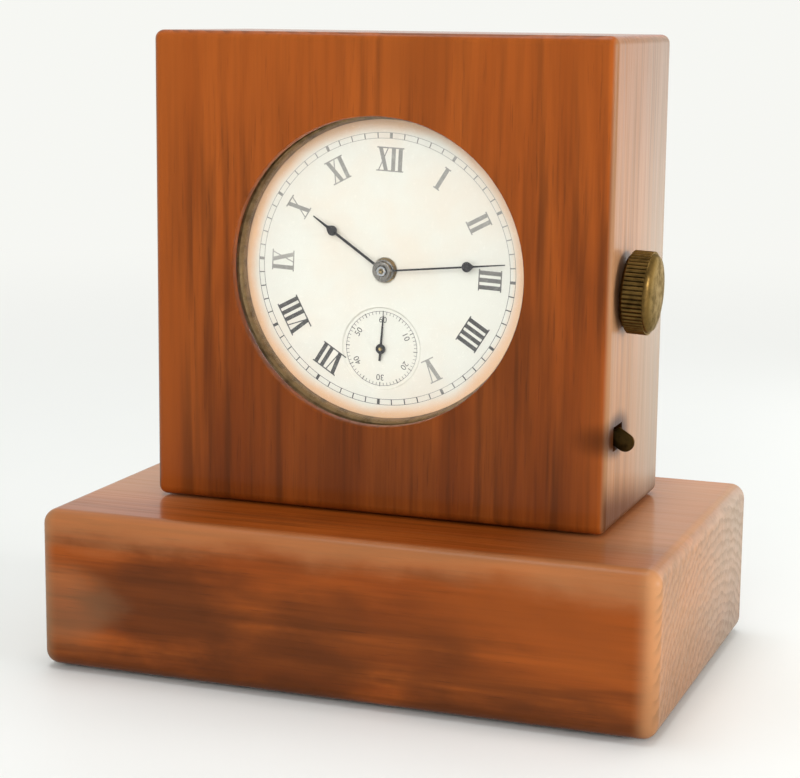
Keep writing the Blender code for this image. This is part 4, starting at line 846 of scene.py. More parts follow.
def base_shade(tree, vector, tone, settings):
    """Dark clouds of heartwood, a bright right end, painted highlights on the top, its front edge and its
    front-right corner, pale ends with painted sheen, and a dark foot.
    """
    dark, wear_and_highlight = settings.dark_wood, settings.worn_wood
    x, y, z = axes_of(tree, vector)
    wave = noise(tree, stretched(tree, vector, (0.5, 1.0, 1.0)), 95.0, 4.0, 0.55)
    for place, size, share, shade in (
        ((0.046, -0.04, 0.021), (0.028, 0.06, 0.011), 0.45, settings.light_wood),
        ((-0.036, -0.04, 0.016), (0.020, 0.05, 0.011), 0.72, dark),
        ((-0.006, -0.04, 0.007), (0.022, 0.05, 0.008), 0.62, dark),
        ((-0.002, -0.04, 0.018), (0.012, 0.05, 0.006), 0.25, dark),
        ((-0.016, -0.04, 0.0145), (0.020, 0.05, 0.008), 0.25, dark),
        ((0.007, -0.04, 0.0130), (0.024, 0.05, 0.0105), 0.42, dark),
        ((0.028, -0.04, 0.0070), (0.024, 0.05, 0.0085), 0.38, dark),
        ((-0.059, -0.04, 0.013), (0.014, 0.05, 0.010), 0.22, settings.side_wood),
    ):
        tone = tint(tree, tone, shade, cloud(tree, vector, place, size, wave), share)
    height = calculate(tree, "ADD", z, swing(tree, wave, 0.012))
    tone = tint(tree, tone, dark, spread(tree, height, 0.001, 0.0085, 0.75, 0.0))

    outwards = calculate(tree, "ABSOLUTE", x)
    # Painted light on the base's top beside the block, stronger towards the back
    beside_block = spread(tree, outwards, 0.026, 0.056, 0.0, 0.8)
    behind = spread(tree, y, base_low.y + 0.006, -0.008, 0.3, 1.0)
    tone = tint(tree, tone, wear_and_highlight, beside_block, on_face(tree, z, base_high.z), behind)
    # Painted highlight along the base's top front edge
    upper = spread(tree, height, base_high.z - 0.0085, base_high.z - 0.0015, 0.0, 0.40)
    front = spread(tree, y, base_low.y + 0.0008, base_low.y + 0.004, 1.0, 0.0)
    tone = tint(tree, tone, wear_and_highlight, upper, front)

    # Pale ends: partly the wood's own paler tone, partly painted sheen; on the base they reach round onto the
    # front corners
    tone, ends = pale_ends(tree, vector, tone, settings.side_wood, base_high.x, 0.0040)
    # Painted reflection greys the ends towards the back
    behind = spread(tree, y, -0.022, 0.034, 0.0, 0.5)
    tone = tint(tree, tone, settings.aged_wood, behind, ends)
    # Painted highlight on the base's rounded front-right corner
    corner = spread(tree, x, base_high.x - 0.0050, base_high.x - 0.0012)
    near_front = spread(tree, y, base_low.y, base_low.y + 0.0060, 0.42, 0.0)
    tone = tint(tree, tone, wear_and_highlight, corner, near_front)
    rings = rings_round(tree, vector, (0, 0.010, -0.036), (0, 1, 1), 0.0022, wave)
    end_face = on_face(tree, outwards, base_high.x, 0.42, 0.0012)
    tone = tint(tree, tone, shares_of(settings.side_wood, 0.42), rings, end_face)
    return tint(tree, tone, dark, spread(tree, height, 0.002, 0.020, 0.3, 0.0), ends), ends


def patina(tree, vector, clean, worn_share, roughness, spot_scale):
    """The patina of one metal, whose worn tone is a share of its clean one."""
    values = {
        "Vector": vector,
        "Clean": tuple(clean),
        "Worn": shares_of(clean, worn_share),
        "Roughness": roughness,
        "Spot Scale": spot_scale,
    }
    return use_group(tree, patina_group(), values)


def metal_material(name, clean, worn_share, roughness, spot_scale=260.0, edge=(1.0, 1.0, 1.0)):
    if name in bpy.data.materials:
        return bpy.data.materials[name]
    material, tree, shader, vector = new_material(name)
    metal = patina(tree, vector, clean, worn_share, roughness, spot_scale)
    normal = raised(tree, metal["Height"], 0.00001, 0.6)
    varied(shader, metal["Colour"], metal["Roughness"], normal, Metallic=1.0, Specular_Tint=edge)
    return material


def bronze_material(settings):
    return metal_material("aged_bronze", settings.bronze, 0.45, 0.34, 420.0, (0.85, 0.76, 0.58))


def lever_material(settings):
    dark = shares_of(settings.bronze, 0.4)
    return metal_material("lever_bronze", dark, 0.5, 0.42, 420.0, (0.5, 0.4, 0.28))


def ring_material(settings):
    return metal_material("ring_bronze", settings.ring_bronze, 0.55, 0.36, 420.0, (0.8, 0.68, 0.5))


def steel_material(settings):
    return metal_material("polished_steel", settings.polished_steel, 0.7, 0.2)


def turned_material(settings):
    """Brass with the fine rings that a lathe leaves."""
    material, tree, shader, vector = new_material("turned_brass")
    metal = patina(tree, vector, settings.brass, 0.78, 0.24, 120.0)
    wave = noise(tree, vector, 60.0, 1.0, 0.5)
    lines = rings_round(tree, vector, tuple(dial_centre), (1, 0, 1), 0.00045, wave)
    rough = calculate(tree, "MULTIPLY_ADD", lines, 0.10, metal["Roughness"], clamp=True)
    varied(shader, metal["Colour"], rough, raised(tree, lines, 0.00001, 0.35), Metallic=1.0)
    return material


def hand_material(settings):
    """Blued steel with a bright polished boss round the dial's centre."""
    material = metal_material("blued_hand", settings.steel, 0.6, 0.22, 500.0)
    tree = material.node_tree
    shader = tree.nodes["Principled BSDF"]
    vector = add(tree, "ShaderNodeTexCoord").outputs["Object"]
    blued = shader.inputs["Base Color"].links[0].from_socket
    flat = vectors(tree, "MULTIPLY", vector, (1, 0, 1))
    reach = vectors(tree, "DISTANCE", flat, (dial_centre.x, 0, dial_centre.z))
    boss = spread(tree, reach, 0.0021, 0.0024, 0.75, 0.0)
    put(tree, shader, "Base Color", tint(tree, blued, settings.polished_boss, boss))
    return material


def enamel_material(settings):
    """White enamel with faint specks and warm clouds; painted reflection of the surrounding wood warms its rim,
    most of all on the right.
    """
    material, tree, shader, vector = new_material("white_enamel")
    rim = settings.enamel_rim
    centre = tuple(dial_centre + inward * depth_of("dial")[0])
    wave = noise(tree, vector, 130.0, 3.0, 0.5)
    reach = vectors(tree, "DISTANCE", vector, centre)
    reach = calculate(tree, "MULTIPLY_ADD", wave, 0.002, reach)
    # Painted reflection of the surrounding wood warms the rim
    edge = spread(tree, reach, 0.0274, 0.0302, 0.0, 0.95)
    tone = tint(tree, tuple(settings.enamel), rim, edge)
    # The painted reflection of the wood is strongest on the right
    right = spread(tree, axes_of(tree, vector)[0], 0.012, 0.024)
    tone = tint(tree, tone, rim, spread(tree, reach, 0.0268, 0.0290, 0.0, 0.55), right)
    specks = noise(tree, vector, 1500.0, 2.0, 0.5)
    speck_tone = (0.45, 0.38, 0.30)
    tone = tint(tree, tone, speck_tone, spread(tree, specks, 0.68, 0.78, 0.0, 0.25))
    clouds = noise(tree, vector, 60.0, 3.0, 0.5)
    tone = tint(tree, tone, rim, spread(tree, clouds, 0.4, 0.75, 0.0, 0.22))
    rough = spread(tree, specks, 0.3, 0.8, 0.16, 0.30)
    normal = raised(tree, noise(tree, vector, 210.0, 2.0, 0.5), 0.00003, 0.5)
    varied(shader, tone, rough, normal, Coat_Weight=0.4, Coat_Roughness=0.08)
    return material


def ink_material(settings):
    """Printer's ink, paled towards the top by painted glare, worn in spots and faded round the V and the IX."""
    material, tree, shader, vector = new_material("dial_print")
    z = axes_of(tree, vector)[2]
    # Painted glare pales the print towards the top
    high = spread(tree, z, dial_centre.z - 0.006, dial_centre.z + 0.006, 0.0, 0.6)
    spots = spread(tree, noise(tree, vector, 900.0, 3.0, 0.6), 0.45, 0.8, 0.0, 0.25)
    wear_and_highlight = calculate(tree, "ADD", high, spots, clamp=True)
    for (x, y), share in (((0.0108, 0.0187), 0.65), ((-0.0216, 0.0), 0.3)):
        place = tuple(dial_frame @ Vector((x, y, depth_of("dial")[0])))
        faded = cloud(tree, vector, place, (0.006, 0.02, 0.006), 0.5)
        wear_and_highlight = calculate(tree, "MULTIPLY_ADD", faded, share, wear_and_highlight, clamp=True)
    faded_and_glare_ink = (0.42, 0.41, 0.37)
    put(tree, shader, "Base Color", tint(tree, tuple(settings.ink), faded_and_glare_ink, wear_and_highlight))
    put(tree, shader, "Roughness", spread(tree, wear_and_highlight, 0.0, 0.5, 0.35, 0.6))
    return material


def felt_material(settings):
    material, tree, shader, vector = new_material("felt_pile")
    pile = noise(tree, vector, 2200.0, 4.0, 0.7)
    light_felt = shares_of(settings.felt, 2.2)
    tone = tint(tree, tuple(settings.felt), light_felt, spread(tree, pile, 0.3, 0.7))
    rough = spread(tree, pile, 0.2, 0.8, 0.85, 1.0)
    varied(shader, tone, rough, raised(tree, pile, 0.0001, 0.8), Sheen_Weight=0.4)
    return material


def glass_material():
    """Clear glass that lets the lamps' light through to the dial."""
    material, tree, shader, vector = new_material("clear_glass")
    smears = noise(tree, vector, 240.0, 4.0, 0.6)
    put(tree, shader, "Base Color", (1.0, 1.0, 1.0))
    put(tree, shader, "Transmission Weight", 1.0)
    put(tree, shader, "IOR", 1.45)
    put(tree, shader, "Roughness", spread(tree, smears, 0.5, 0.8, 0.0, 0.06))
    clear = add(tree, "ShaderNodeBsdfTransparent")
    shadow = add(tree, "ShaderNodeLightPath").outputs["Is Shadow Ray"]
    mix_surface(tree, shadow, shader, clear, tree.nodes["Material Output"])
    return material


# Geometry node trees for pieces that repeat round a circle


def ring_tree(name, unit):
    """Copies of a small solid spaced evenly round a circle; unit builds the solid."""
    tree = bpy.data.node_groups.new(name, "GeometryNodeTree")
    inputs = [
        ("Geometry", "Geometry", None),
        ("Count", "Int", 60),
        ("Radius", "Float", 0.02),
        ("Length", "Float", 0.001),
        ("Width", "Float", 0.0003),
        ("Height", "Float", 0.0001),
        ("Material", "Material", None),
    ]
    new_sockets(tree, inputs, [("Geometry", "Geometry")])
    source = add(tree, "NodeGroupInput").outputs
    radius = source["Radius"]
    step = calculate(tree, "DIVIDE", 2 * pi, source["Count"])
    turn = calculate(tree, "MULTIPLY", add(tree, "GeometryNodeInputIndex").outputs[0], step)
    x = calculate(tree, "MULTIPLY", calculate(tree, "COSINE", turn), radius)
    y = calculate(tree, "MULTIPLY", calculate(tree, "SINE", turn), radius)
    spot = filled(tree, "ShaderNodeCombineXYZ", (x, y)).outputs[0]
    points = named(tree, "GeometryNodePoints", Count=source["Count"], Position=spot)
    copies = named(
        tree,
        "GeometryNodeInstanceOnPoints",
        Points=points.outputs[0],
        Instance=unit(tree, source),
        Rotation=filled(tree, "ShaderNodeCombineXYZ", (0.0, 0.0, turn)).outputs[0],
    )
    real = filled(tree, "GeometryNodeRealizeInstances", [copies.outputs[0]]).outputs[0]
    material = source["Material"]
    result = named(tree, "GeometryNodeSetMaterial", Geometry=real, Material=material)
    filled(tree, "NodeGroupOutput", [result.outputs[0]])
    return tree


def bar_unit(tree, source):
    """A flat bar that lies along the circle's radius."""
    sizes = (source["Length"], source["Width"], source["Height"])
    size = filled(tree, "ShaderNodeCombineXYZ", sizes).outputs[0]
    return named(tree, "GeometryNodeMeshCube", Size=size).outputs["Mesh"]


def rod_unit(tree, source):
    """A round rod that lies along the circle's axis."""
    sizes = {"Vertices": 10, "Radius": source["Width"], "Depth": source["Length"]}
    return named(tree, "GeometryNodeMeshCylinder", **sizes).outputs["Mesh"]


def ring_mesh(unit, **values):
    """The plain mesh of a ring of copies with the given inputs."""
    name = "ring_" + unit.__name__
    tree = bpy.data.node_groups.get(name) or ring_tree(name, unit)
    thing = linked("ring", bpy.data.meshes.new("ring"))
    step = thing.modifiers.new("ring", "NODES")
    step.node_group = tree
    for item in tree.interface.items_tree:
        if item.item_type == "SOCKET" and item.in_out == "INPUT" and item.name in values:
            step[item.identifier] = values[item.name]
    return evaluated(thing)


# Case


def screw_with_slot(radius, height, slot_width, slot_depth, shank_radius, shank_length):
    """A slotted screw along z; its head stands on z = 0 and its shank runs to -z."""
    edge = height * 0.25
    profile = [
        (0, height),
        (radius - edge, height),
        (radius, height - edge),
        (radius, 0),
        (shank_radius, 0),
        (shank_radius, -shank_length),
        (0, -shank_length),
    ]
    low = Vector((-2 * radius, -slot_width / 2, height - slot_depth))
    high = Vector((2 * radius, slot_width / 2, 2 * height))
    return cut_from(lathe(profile, 40), [rounded_box(low, high, 0)])


class CLOCK_OT_wooden_base(bpy.types.Operator):
    """Makes the wooden base with its recesses for feet and screws"""

    bl_idname = "clock.wooden_base"
    bl_label = "Wooden Base"

    def execute(self, context):
        settings = context.scene.clock_case
        tools = []
        for name in nodes_named("felt_foot"):
            radius, _, high, place = upright(name)
            recess = plug(radius + settings.gap, high + settings.gap, -PAST, 48)
            tools.append(placed(recess, place))
        head_bore, head_depth = settings.screw_bore, settings.screw_bore_depth
        shank_bore = 0.0021
        profile = [
            (0, base_high.z + PAST),
            (shank_bore, base_high.z + PAST),
            (shank_bore, head_depth),
            (head_bore, head_depth),
            (head_bore, -PAST),
            (0, -PAST),
        ]
        for name in nodes_named("base_screw"):
            tools.append(placed(lathe(profile, 40), upright(name)[3]))
        data = weighted(cut_from(rounded_box(base_low, base_high, settings.base_edge), tools))
        turn, place = (0, 0, 0), (0.3, 0.17, 0.05)
        material = wood_material(
            "base_hardwood", settings, turn, place, 62.0, 0.45, 0.45, base_shade
        )
        dress("base_wood", data, "case", material, ("base_block",))
        return {"FINISHED"}


class CLOCK_OT_wooden_block(bpy.types.Operator):
    """Makes the upright wooden block with its stepped bore"""

    bl_idname = "clock.wooden_block"
    bl_label = "Wooden Block"

    def execute(self, context):
        settings = context.scene.clock_case
        behind = block_high.y - block_low.y + PAST
        edge = 0.0005
        lip = settings.lip_radius
        seat = crystal_radius + settings.gap
        recess = cover_radius + settings.gap
        room_depth = cover_front - settings.gap
        profile = [
            (0, behind),
            (recess, behind),
            (recess, room_depth),
            (settings.room_radius, room_depth),
            (settings.room_radius, settings.seat_depth),
            (seat, settings.seat_depth),
            (seat, settings.lip_depth),
            (lip, settings.lip_depth),
            (lip, edge),
            (lip + 0.3 * edge, 0.3 * edge),
            (lip + edge, 0),
            (lip + edge + PAST, -PAST),
            (0, -PAST),
        ]
        stem_bore, stem_reach = 0.0013, 0.040
        slot_half, slot_front, slot_back, slot_end = 0.0020, 0.0050, 0.0116, 0.0760
        slot_low = Vector((lip, -slot_half, slot_front))
        slot_high = Vector((slot_end, slot_half, slot_back))
        tools = [
            placed(lathe(profile, 128), dial_frame),
            placed(plug(stem_bore, stem_reach, -PAST, 24), stem_frame),
            placed(rounded_box(slot_low, slot_high, 0), lever_frame),
        ]
        tip_room = 0.0005
        for name in nodes_named("back_cover_screw"):
            _, screw_front, _, place = lying(name)
            hole = plug(COVER_SCREW_BORE, room_depth + PAST, screw_front - tip_room, 24)
            tools.append(placed(hole, place))
        data = weighted(cut_from(rounded_box(block_low, block_high, settings.block_edge), tools))
        turn, place = (0, radians(90), 0), (0.0, 0.11, 0.03)
        material = wood_material(
            "block_hardwood", settings, turn, place, 75.0, 0.55, 0.35, block_shade
        )
        dress("block_wood", data, "case", material, ("case_block",))
        return {"FINISHED"}


class CLOCK_OT_feet_and_screws(bpy.types.Operator):
    """Makes the felt feet and the two long screws that hold the block"""

    bl_idname = "clock.feet_and_screws"
    bl_label = "Feet and Screws"

    def execute(self, context):
        edge = 0.0003
        pads = []
        names = nodes_named("felt_foot")
        for name in names:
            radius, low, high, place = upright(name)
            profile = [
                (0, high),
                (radius - edge, high),
                (radius, high - edge),
                (radius, low + edge),
                (radius - edge, low),
                (0, low),
            ]
            pads.append(placed(lathe(profile, 48), place))
        felt = felt_material(context.scene.clock_case)
        dress("felt_pads", shaded(joined(pads)), "case", felt, names)
        head_height, slot_width, slot_depth, shank_radius = 0.0022, 0.0012, 0.0010, 0.0018
        screws = []
        names = nodes_named("base_screw")
        for name in names:
            radius, low, high, place = upright(name)
            seat = low + head_height
            screw = screw_with_slot(
                radius, head_height, slot_width, slot_depth, shank_radius, high - seat
            )
            turn = Matrix.Translation((0, 0, seat)) @ Matrix.Rotation(pi, 4, "X")
            screws.append(placed(screw, place @ turn))
        steel = steel_material(context.scene.clock_metal)
        dress("base_screws", shaded(joined(screws)), "case", steel, names)
        return {"FINISHED"}


class CLOCK_OT_back_cover(bpy.types.Operator):
    """Makes the turned back cover and its three screws"""

    bl_idname = "clock.back_cover"
    bl_label = "Back Cover"

    def execute(self, context):
        metal = context.scene.clock_metal
        front, back, radius = cover_front, cover_back, cover_radius
        inner = radius - 0.0052
        middle = back - 0.0006
        half = 0.0003
        profile = [(0, middle)]
        for groove in (0.0048, inner - 0.0032):
            profile += [(groove - half, middle), (groove, middle - half), (groove + half, middle)]
        bevel = 0.0004
        profile += [
            (inner, middle),
            (inner + 0.0006, back - 0.0001),
            (inner + 0.0009, back),
            (radius - bevel, back),
            (radius, back - bevel),
            (radius, front),
            (0, front),
        ]
        seat = back + 0.0003
        slot_width, slot_depth, shank_radius = 0.0005, 0.0004, 0.0009
        tools, screws = [], []
        names = nodes_named("back_cover_screw")
        for number, name in enumerate(names):
            head, screw_front, screw_back, place = lying(name)
            tools.append(placed(plug(COVER_SCREW_BORE, back + PAST, front - PAST, 24), place))
            screw = screw_with_slot(
                head, screw_back - seat, slot_width, slot_depth, shank_radius, seat - screw_front
            )
            turn = Matrix.Translation((0, 0, seat)) @ Matrix.Rotation(0.7 * number, 4, "Z")
            screws.append(placed(screw, place @ turn))
        data = shaded(cut_from(placed(lathe(profile, 144), dial_frame), tools), radians(25))
        dress("cover_disc", data, "case", turned_material(metal), ("back_cover",))
        data = shaded(joined(screws))
        dress("cover_screws", data, "case", steel_material(metal), names)
        return {"FINISHED"}


# Dial


def glyph_strokes(letter, height, thick, thin):
    """Outlines of one Roman letter, from its left edge, and its width."""
    half = height / 2
    width = thick if letter == "I" else height * 0.46
    if letter == "I":
        strokes = [[(0, -half), (thick, -half), (thick, half), (0, half)]]
    elif letter == "V":
        middle = width * 0.55
        strokes = [
            [(0, -half), (thick, -half), (middle + thick / 2, half), (middle - thick / 2, half)],
            [(width - thin, -half), (width, -half), (middle + thin, half), (middle, half)],
        ]
    else:
        strokes = [
            [(0, -half), (thick, -half), (width, half), (width - thick, half)],
            [(width - thin, -half), (width, -half), (thin, half), (0, half)],
        ]
    serif = thin * 1.1
    left, right = -thick * 0.35, width + thick * 0.35
    for edge in (-half, half - serif):
        strokes.append([(left, edge), (right, edge), (right, edge + serif), (left, edge + serif)])
    return strokes, width


def numeral_mesh(text, settings):
    """A Roman numeral whose foot points to the dial's centre, as low solids."""
    thick = settings.thick_stroke
    gap = thick * 0.72
    drawn = []
    cursor = 0.0
    for letter in text:
        strokes, width = glyph_strokes(letter, settings.numeral_height, thick, settings.thin_stroke)
        drawn += [[(x + cursor, y) for x, y in stroke] for stroke in strokes]
        cursor += width + gap
    shift = (cursor - gap) / 2
    shape = bmesh.new()
    for number, stroke in enumerate(drawn):
        lift = settings.print_height * (1 + 0.02 * number)
        corners = [(x - shift, y) for x, y in stroke]
        lower = [shape.verts.new((x, y, 0)) for x, y in corners]
        upper = [shape.verts.new((x, y, -lift)) for x, y in corners]
        shape.faces.new(lower)
        shape.faces.new(list(reversed(upper)))
        for i in range(4):
            j = (i + 1) % 4
            shape.faces.new((lower[j], lower[i], upper[i], upper[j]))
    return solid_from(shape)


class CLOCK_OT_dial(bpy.types.Operator):
    """Makes the enamel dial with its sunk seconds dial, numerals and tracks"""

    bl_idname = "clock.dial"
    bl_label = "Dial"

    def execute(self, context):
        settings = context.scene.clock_dial
        glass_gap = 0.0029
        front = depth_of("crystal")[1] + glass_gap
        floor = front + settings.sink_depth
        data = self.disc(settings, front, floor)
        dress("dial_disc", data, "case", enamel_material(settings), ("dial",))
        ink = ink_material(settings)
        sink = 0.000005
        parts = self.minute_dial(settings, front - sink, ink)
        parts += self.seconds_dial(settings, floor - sink, ink)
        data = placed(joined(parts), dial_frame)
        dress("dial_print", data, "case", ink)
        return {"FINISHED"}

    def disc(self, settings, front, floor):
        """The enamel disc with its sunk seconds dial and its three feet."""
        thickness, edge = 0.0010, 0.0002
        back = front + thickness
        hole, radius, sink = settings.hole, settings.radius, settings.sink_radius
        profile = [
            (hole, back),
            (hole, front + edge),
            (hole + edge, front),
            (radius * 0.5, front),
            (radius - 3 * edge, front),
            (radius, front + 2 * edge),
            (radius, back),
        ]
        inner, outer = sink - 0.0003, sink + 0.0003
        past = 0.001
        bowl = [(0, floor), (inner, floor), (sink, front), (outer, -past), (0, -past)]
        arbor_hole = plug(0.0008, back + past, front - past, 24)
        tools = [placed(lathe(bowl, 96), seconds_place), placed(arbor_hole, seconds_place)]
        parts = [cut_from(lathe(profile, 144), tools)]
        foot_ring, foot_radius, foot_length = 0.0265, 0.0005, 0.0032
        foot = plug(foot_radius, back + foot_length, back - 0.0001, 16)
        for turn in (-75, 50, 170):
            spot = Matrix.Rotation(radians(turn), 4, "Z") @ Matrix.Translation((foot_ring, 0, 0))
            parts.append(placed(foot, spot))
        return placed(weighted(joined(parts)), dial_frame)

    def minute_dial(self, settings, surface, ink):
        """The numerals and the minute track; the seconds dial takes the place of the VI."""
        parts = []
        numerals = ["XII", "I", "II", "III", "IIII", "V", None, "VII", "VIII", "IX", "X", "XI"]
        for hour, text in enumerate(numerals):
            if text:
                turn = Matrix.Rotation(hour * pi / 6, 4, "Z")
                spot = turn @ Matrix.Translation((0, -settings.numeral_ring, surface))
                parts.append(placed(numeral_mesh(text, settings), spot))
        size, width, height = settings.mark_length, settings.mark_width, settings.print_height
        track = settings.track_radius
        parts += self.marks(track, ((size, width), (size, 2.6 * width)), surface, height, ink)
        for ring in (track - 0.5 * size, track + 0.5 * size):
            parts.append(rail(ring, surface, height, 180))
        return parts

    def seconds_dial(self, settings, surface, ink):
        sink, height = settings.sink_radius, settings.print_height
        sizes = ((0.00055, 0.00009), (0.00085, 0.00016))
        mark_ring, rail_ring, number_ring = sink - 0.0012, sink - 0.0009, sink - 0.0026
        parts = self.marks(mark_ring, sizes, surface, height, ink)
        parts.append(rail(rail_ring, surface, height, 120))
        for number in range(10, 70, 10):
            parts.append(self.seconds_number(number, surface, number_ring))
        return [placed(part, seconds_place) for part in parts]

    def marks(self, ring, sizes, surface, height, ink):
        """Sixty fine marks and twelve bold ones, whose lengths and widths are given."""
        lift = Matrix.Translation((0, 0, surface - height / 2))
        parts = []
        for count, rise, (size, width) in zip((60, 12), (1, 1.2), sizes):
            marks = ring_mesh(
                bar_unit,
                Count=count,
                Radius=ring,
                Length=size,
                Width=width,
                Height=height * rise,
                Material=ink,
            )
            parts.append(placed(marks, lift))
        return parts

    def seconds_number(self, number, surface, ring):
        half = 0.00001
        text = bpy.data.curves.new("number", "FONT")
        text.body = str(number)
        text.size = 0.0017
        text.extrude = half
        text.align_x = "CENTER"
        text.align_y = "CENTER"
        flip = Matrix.Rotation(pi, 4, "X")
        turn = Matrix.Rotation(number * pi / 30, 4, "Z")
        spot = turn @ Matrix.Translation((0, -ring, surface - half)) @ flip
        return placed(evaluated(linked("number", text)), spot)


class CLOCK_OT_ring_and_glass(bpy.types.Operator):
    """Makes the dial ring and the domed glass"""

    bl_idname = "clock.ring_and_glass"
    bl_label = "Ring and Glass"

    def execute(self, context):
        front, back = depth_of("dial_ring")
        radius = crystal_radius
        inner = context.scene.clock_case.lip_radius
        profile = [
            (radius, front),
            (radius, back),
            (inner - 0.0007, back),
            (inner - 0.0006, back - 0.0006),
            (inner - 0.0003, front + 0.0006),
            (inner, front),
        ]
        data = placed(shaded(lathe(profile, 144), radians(50)), dial_frame)
        bronze = ring_material(context.scene.clock_metal)
        dress("ring_metal", data, "case", bronze, ("dial_ring",))
        front, back = depth_of("crystal")
        rise = 0.0006
        shares = [i / 8 for i in range(9)]
        outer = [(radius * share, front + rise * share**2) for share in shares]
        inside = [(radius * share, back - rise * (1 - share**2)) for share in shares]
        profile = outer + list(reversed(inside))
        data = placed(shaded(lathe(profile, 144), radians(50)), dial_frame)
        dress("glass_dome", data, "case", glass_material(), ("crystal",))
        return {"FINISHED"}


# Hands


def spade_outline(boss, bulb_place, bulb, half_stem, reach):
    """A hand along +x: boss, slim stem, round bulb and a fine point."""
    side = arc_of(boss, asin(half_stem / boss), pi, 24)
    round_part = arc_of(bulb, pi - asin(half_stem / bulb), radians(50), 16, bulb_place)
    half_tip = 0.0001
    point = [(bulb_place + bulb / 0.75, half_stem), (reach, half_tip)]
    upper = list(reversed(side)) + round_part + point
    return upper + [(x, -y) for x, y in reversed(upper[1:])]


def seconds_outline(reach):
    """A slim hand along +x with a round boss and a short tail."""
    boss, half, tail, half_tip = 0.0010, 0.00022, 0.0024, 0.00011
    opening = asin(half / boss)
    return (
        arc_of(boss, opening, pi - opening, 16)
        + [(-tail, half), (-tail, -half)]
        + arc_of(boss, pi + opening, 2 * pi - opening, 16)
        + [(reach, -half_tip), (reach, half_tip)]
    )


class CLOCK_OT_hands(bpy.types.Operator):
    """Makes the hour, minute and seconds hands"""

    bl_idname = "clock.hands"
    bl_label = "Hands"

    def execute(self, context):
        hands = context.scene.clock_hands
        steel = hand_material(hands)
        boss, half_stem, bore = 0.0022, 0.00025, ring_of(0.00175, 32)
        outline = spade_outline(
            boss, hands.hour_bulb_place, hands.hour_bulb, half_stem, hands.hour_reach
        )
        self.hand("hour", [outline, bore], 0.00006, dial_frame, hands.hour_angle, steel)
        boss, half_stem, bore = 0.0018, 0.00018, ring_of(0.00115, 32)
        outline = spade_outline(
            boss, hands.minute_bulb_place, hands.minute_bulb, half_stem, hands.minute_reach
        )
        self.hand("minute", [outline, bore], 0.00006, dial_frame, hands.minute_angle, steel)
        outlines = [seconds_outline(hands.seconds_reach), ring_of(0.00045, 24)]
        centre = dial_frame @ seconds_place
        self.hand("seconds", outlines, 0.00003, centre, hands.seconds_angle, steel)
        return {"FINISHED"}

    def hand(self, kind, outlines, rounding, centre, turn, steel):
        """One hand round its centre; its outline lies along +x, and twelve along -y."""
        node = kind + "_hand"
        spot = centre @ Matrix.Rotation(turn - pi / 2, 4, "Z")
        data = shaded(placed(plate(outlines, *depth_of(node), rounding), spot))
        dress(node + "_steel", data, kind + "_train", steel, (node,))


# Knob and lever


class CLOCK_OT_knob_and_lever(bpy.types.Operator):
    """Makes the ridged winding knob and the setting lever"""

    bl_idname = "clock.knob_and_lever"
    bl_label = "Knob and Lever"

    def execute(self, context):
        metal = context.scene.clock_metal
        self.knob(metal)
        self.lever(metal)
        return {"FINISHED"}

    def knob(self, metal):
        """A turned knob with a rounded face; half of each round ridge stands out of it."""
        inner, outer = knob_inner - stem_point.x, knob_outer - stem_point.x
        ridge = metal.ridge_radius
        radius = extent("winding_knob", Vector((0, 0, 1)))[1] - stem_point.z - ridge
        bore, bore_depth = 0.0009, 0.0043
        start, end = inner + 0.0009, outer - 0.0013
        profile = [
            (0, outer),
            (radius * 0.45, outer - 0.00003),
            (radius * 0.75, outer - 0.0002),
            (radius - 0.0006, outer - 0.0005),
            (radius - 0.0001, outer - 0.0010),
            (radius, end),
            (radius, start),
            (radius - 0.0006, inner + 0.0002),
            (radius - 0.0012, inner),
            (bore, inner),
            (bore, inner + bore_depth),
            (0, inner + bore_depth),
        ]
        bronze = bronze_material(metal)
        ridges = ring_mesh(
            rod_unit,
            Count=metal.ridge_count,
            Radius=radius - 0.00005,
            Length=end - start,
            Width=ridge,
            Material=bronze,
        )
        middle = Matrix.Translation((0, 0, (start + end) / 2))
        parts = [lathe(profile, 96), placed(ridges, middle)]
        data = placed(shaded(joined(parts), radians(45)), stem_frame)
        dress("knob_bronze", data, "stem", bronze, ("winding_knob",))

    def lever(self, metal):
        """A flat bar with a slotted guide and a rounded, wider tip."""
        half, wide, tip = 0.0008, 0.0013, 0.0018
        start, guide, reach = 0.0190, 0.0245, lever_reach
        lower = [
            (start, -half),
            (guide - 0.0044, -wide),
            (guide + 0.0044, -wide),
            (guide + 0.0066, -half),
            (reach - 0.0048, -half),
            (reach - 0.0043, -tip),
        ]
        upper = [(x, -y) for x, y in reversed(lower)]
        outline = lower + arc_of(tip, -pi / 2, pi / 2, 16, reach - tip) + upper
        left, right, slot_half = guide - 0.0037, guide + 0.0007, 0.00055
        slot = [(left, -slot_half), (right, -slot_half), (right, slot_half), (left, slot_half)]
        data = plate([outline, slot], *depth_of("setting_lever"), 0.00008)
        data = shaded(placed(data, lever_frame))
        bronze = lever_material(metal)
        body = "setting_lever"
        dress("lever_bronze", data, body, bronze, ("setting_lever",))


# Movement


class CLOCK_OT_movement(bpy.types.Operator):
    """Finishes the movement's plates, wheels, springs and screws"""

    bl_idname = "clock.movement"
    bl_label = "Movement"

    def execute(self, context):
        metal = context.scene.clock_metal
        blued = context.scene.clock_hands.steel
        finishes = {
            "brass": metal_material("brushed_brass", metal.brass, 0.6, 0.26),
            "gilt_brass": metal_material("gilded_brass", metal.gilt, 0.72, 0.24),
            "steel": steel_material(metal),
            "blued_steel": metal_material("fired_steel", blued, 0.6, 0.22, 500.0),
        }
        slots = {item["node"]: item["material_slot"] for item in frame["record"]["subparts"]}
        for name, node in frame["nodes"].items():
            if slots[name] in finishes:
                node.data.materials.clear()
                node.data.materials.append(finishes[slots[name]])
        return {"FINISHED"}


# Stage


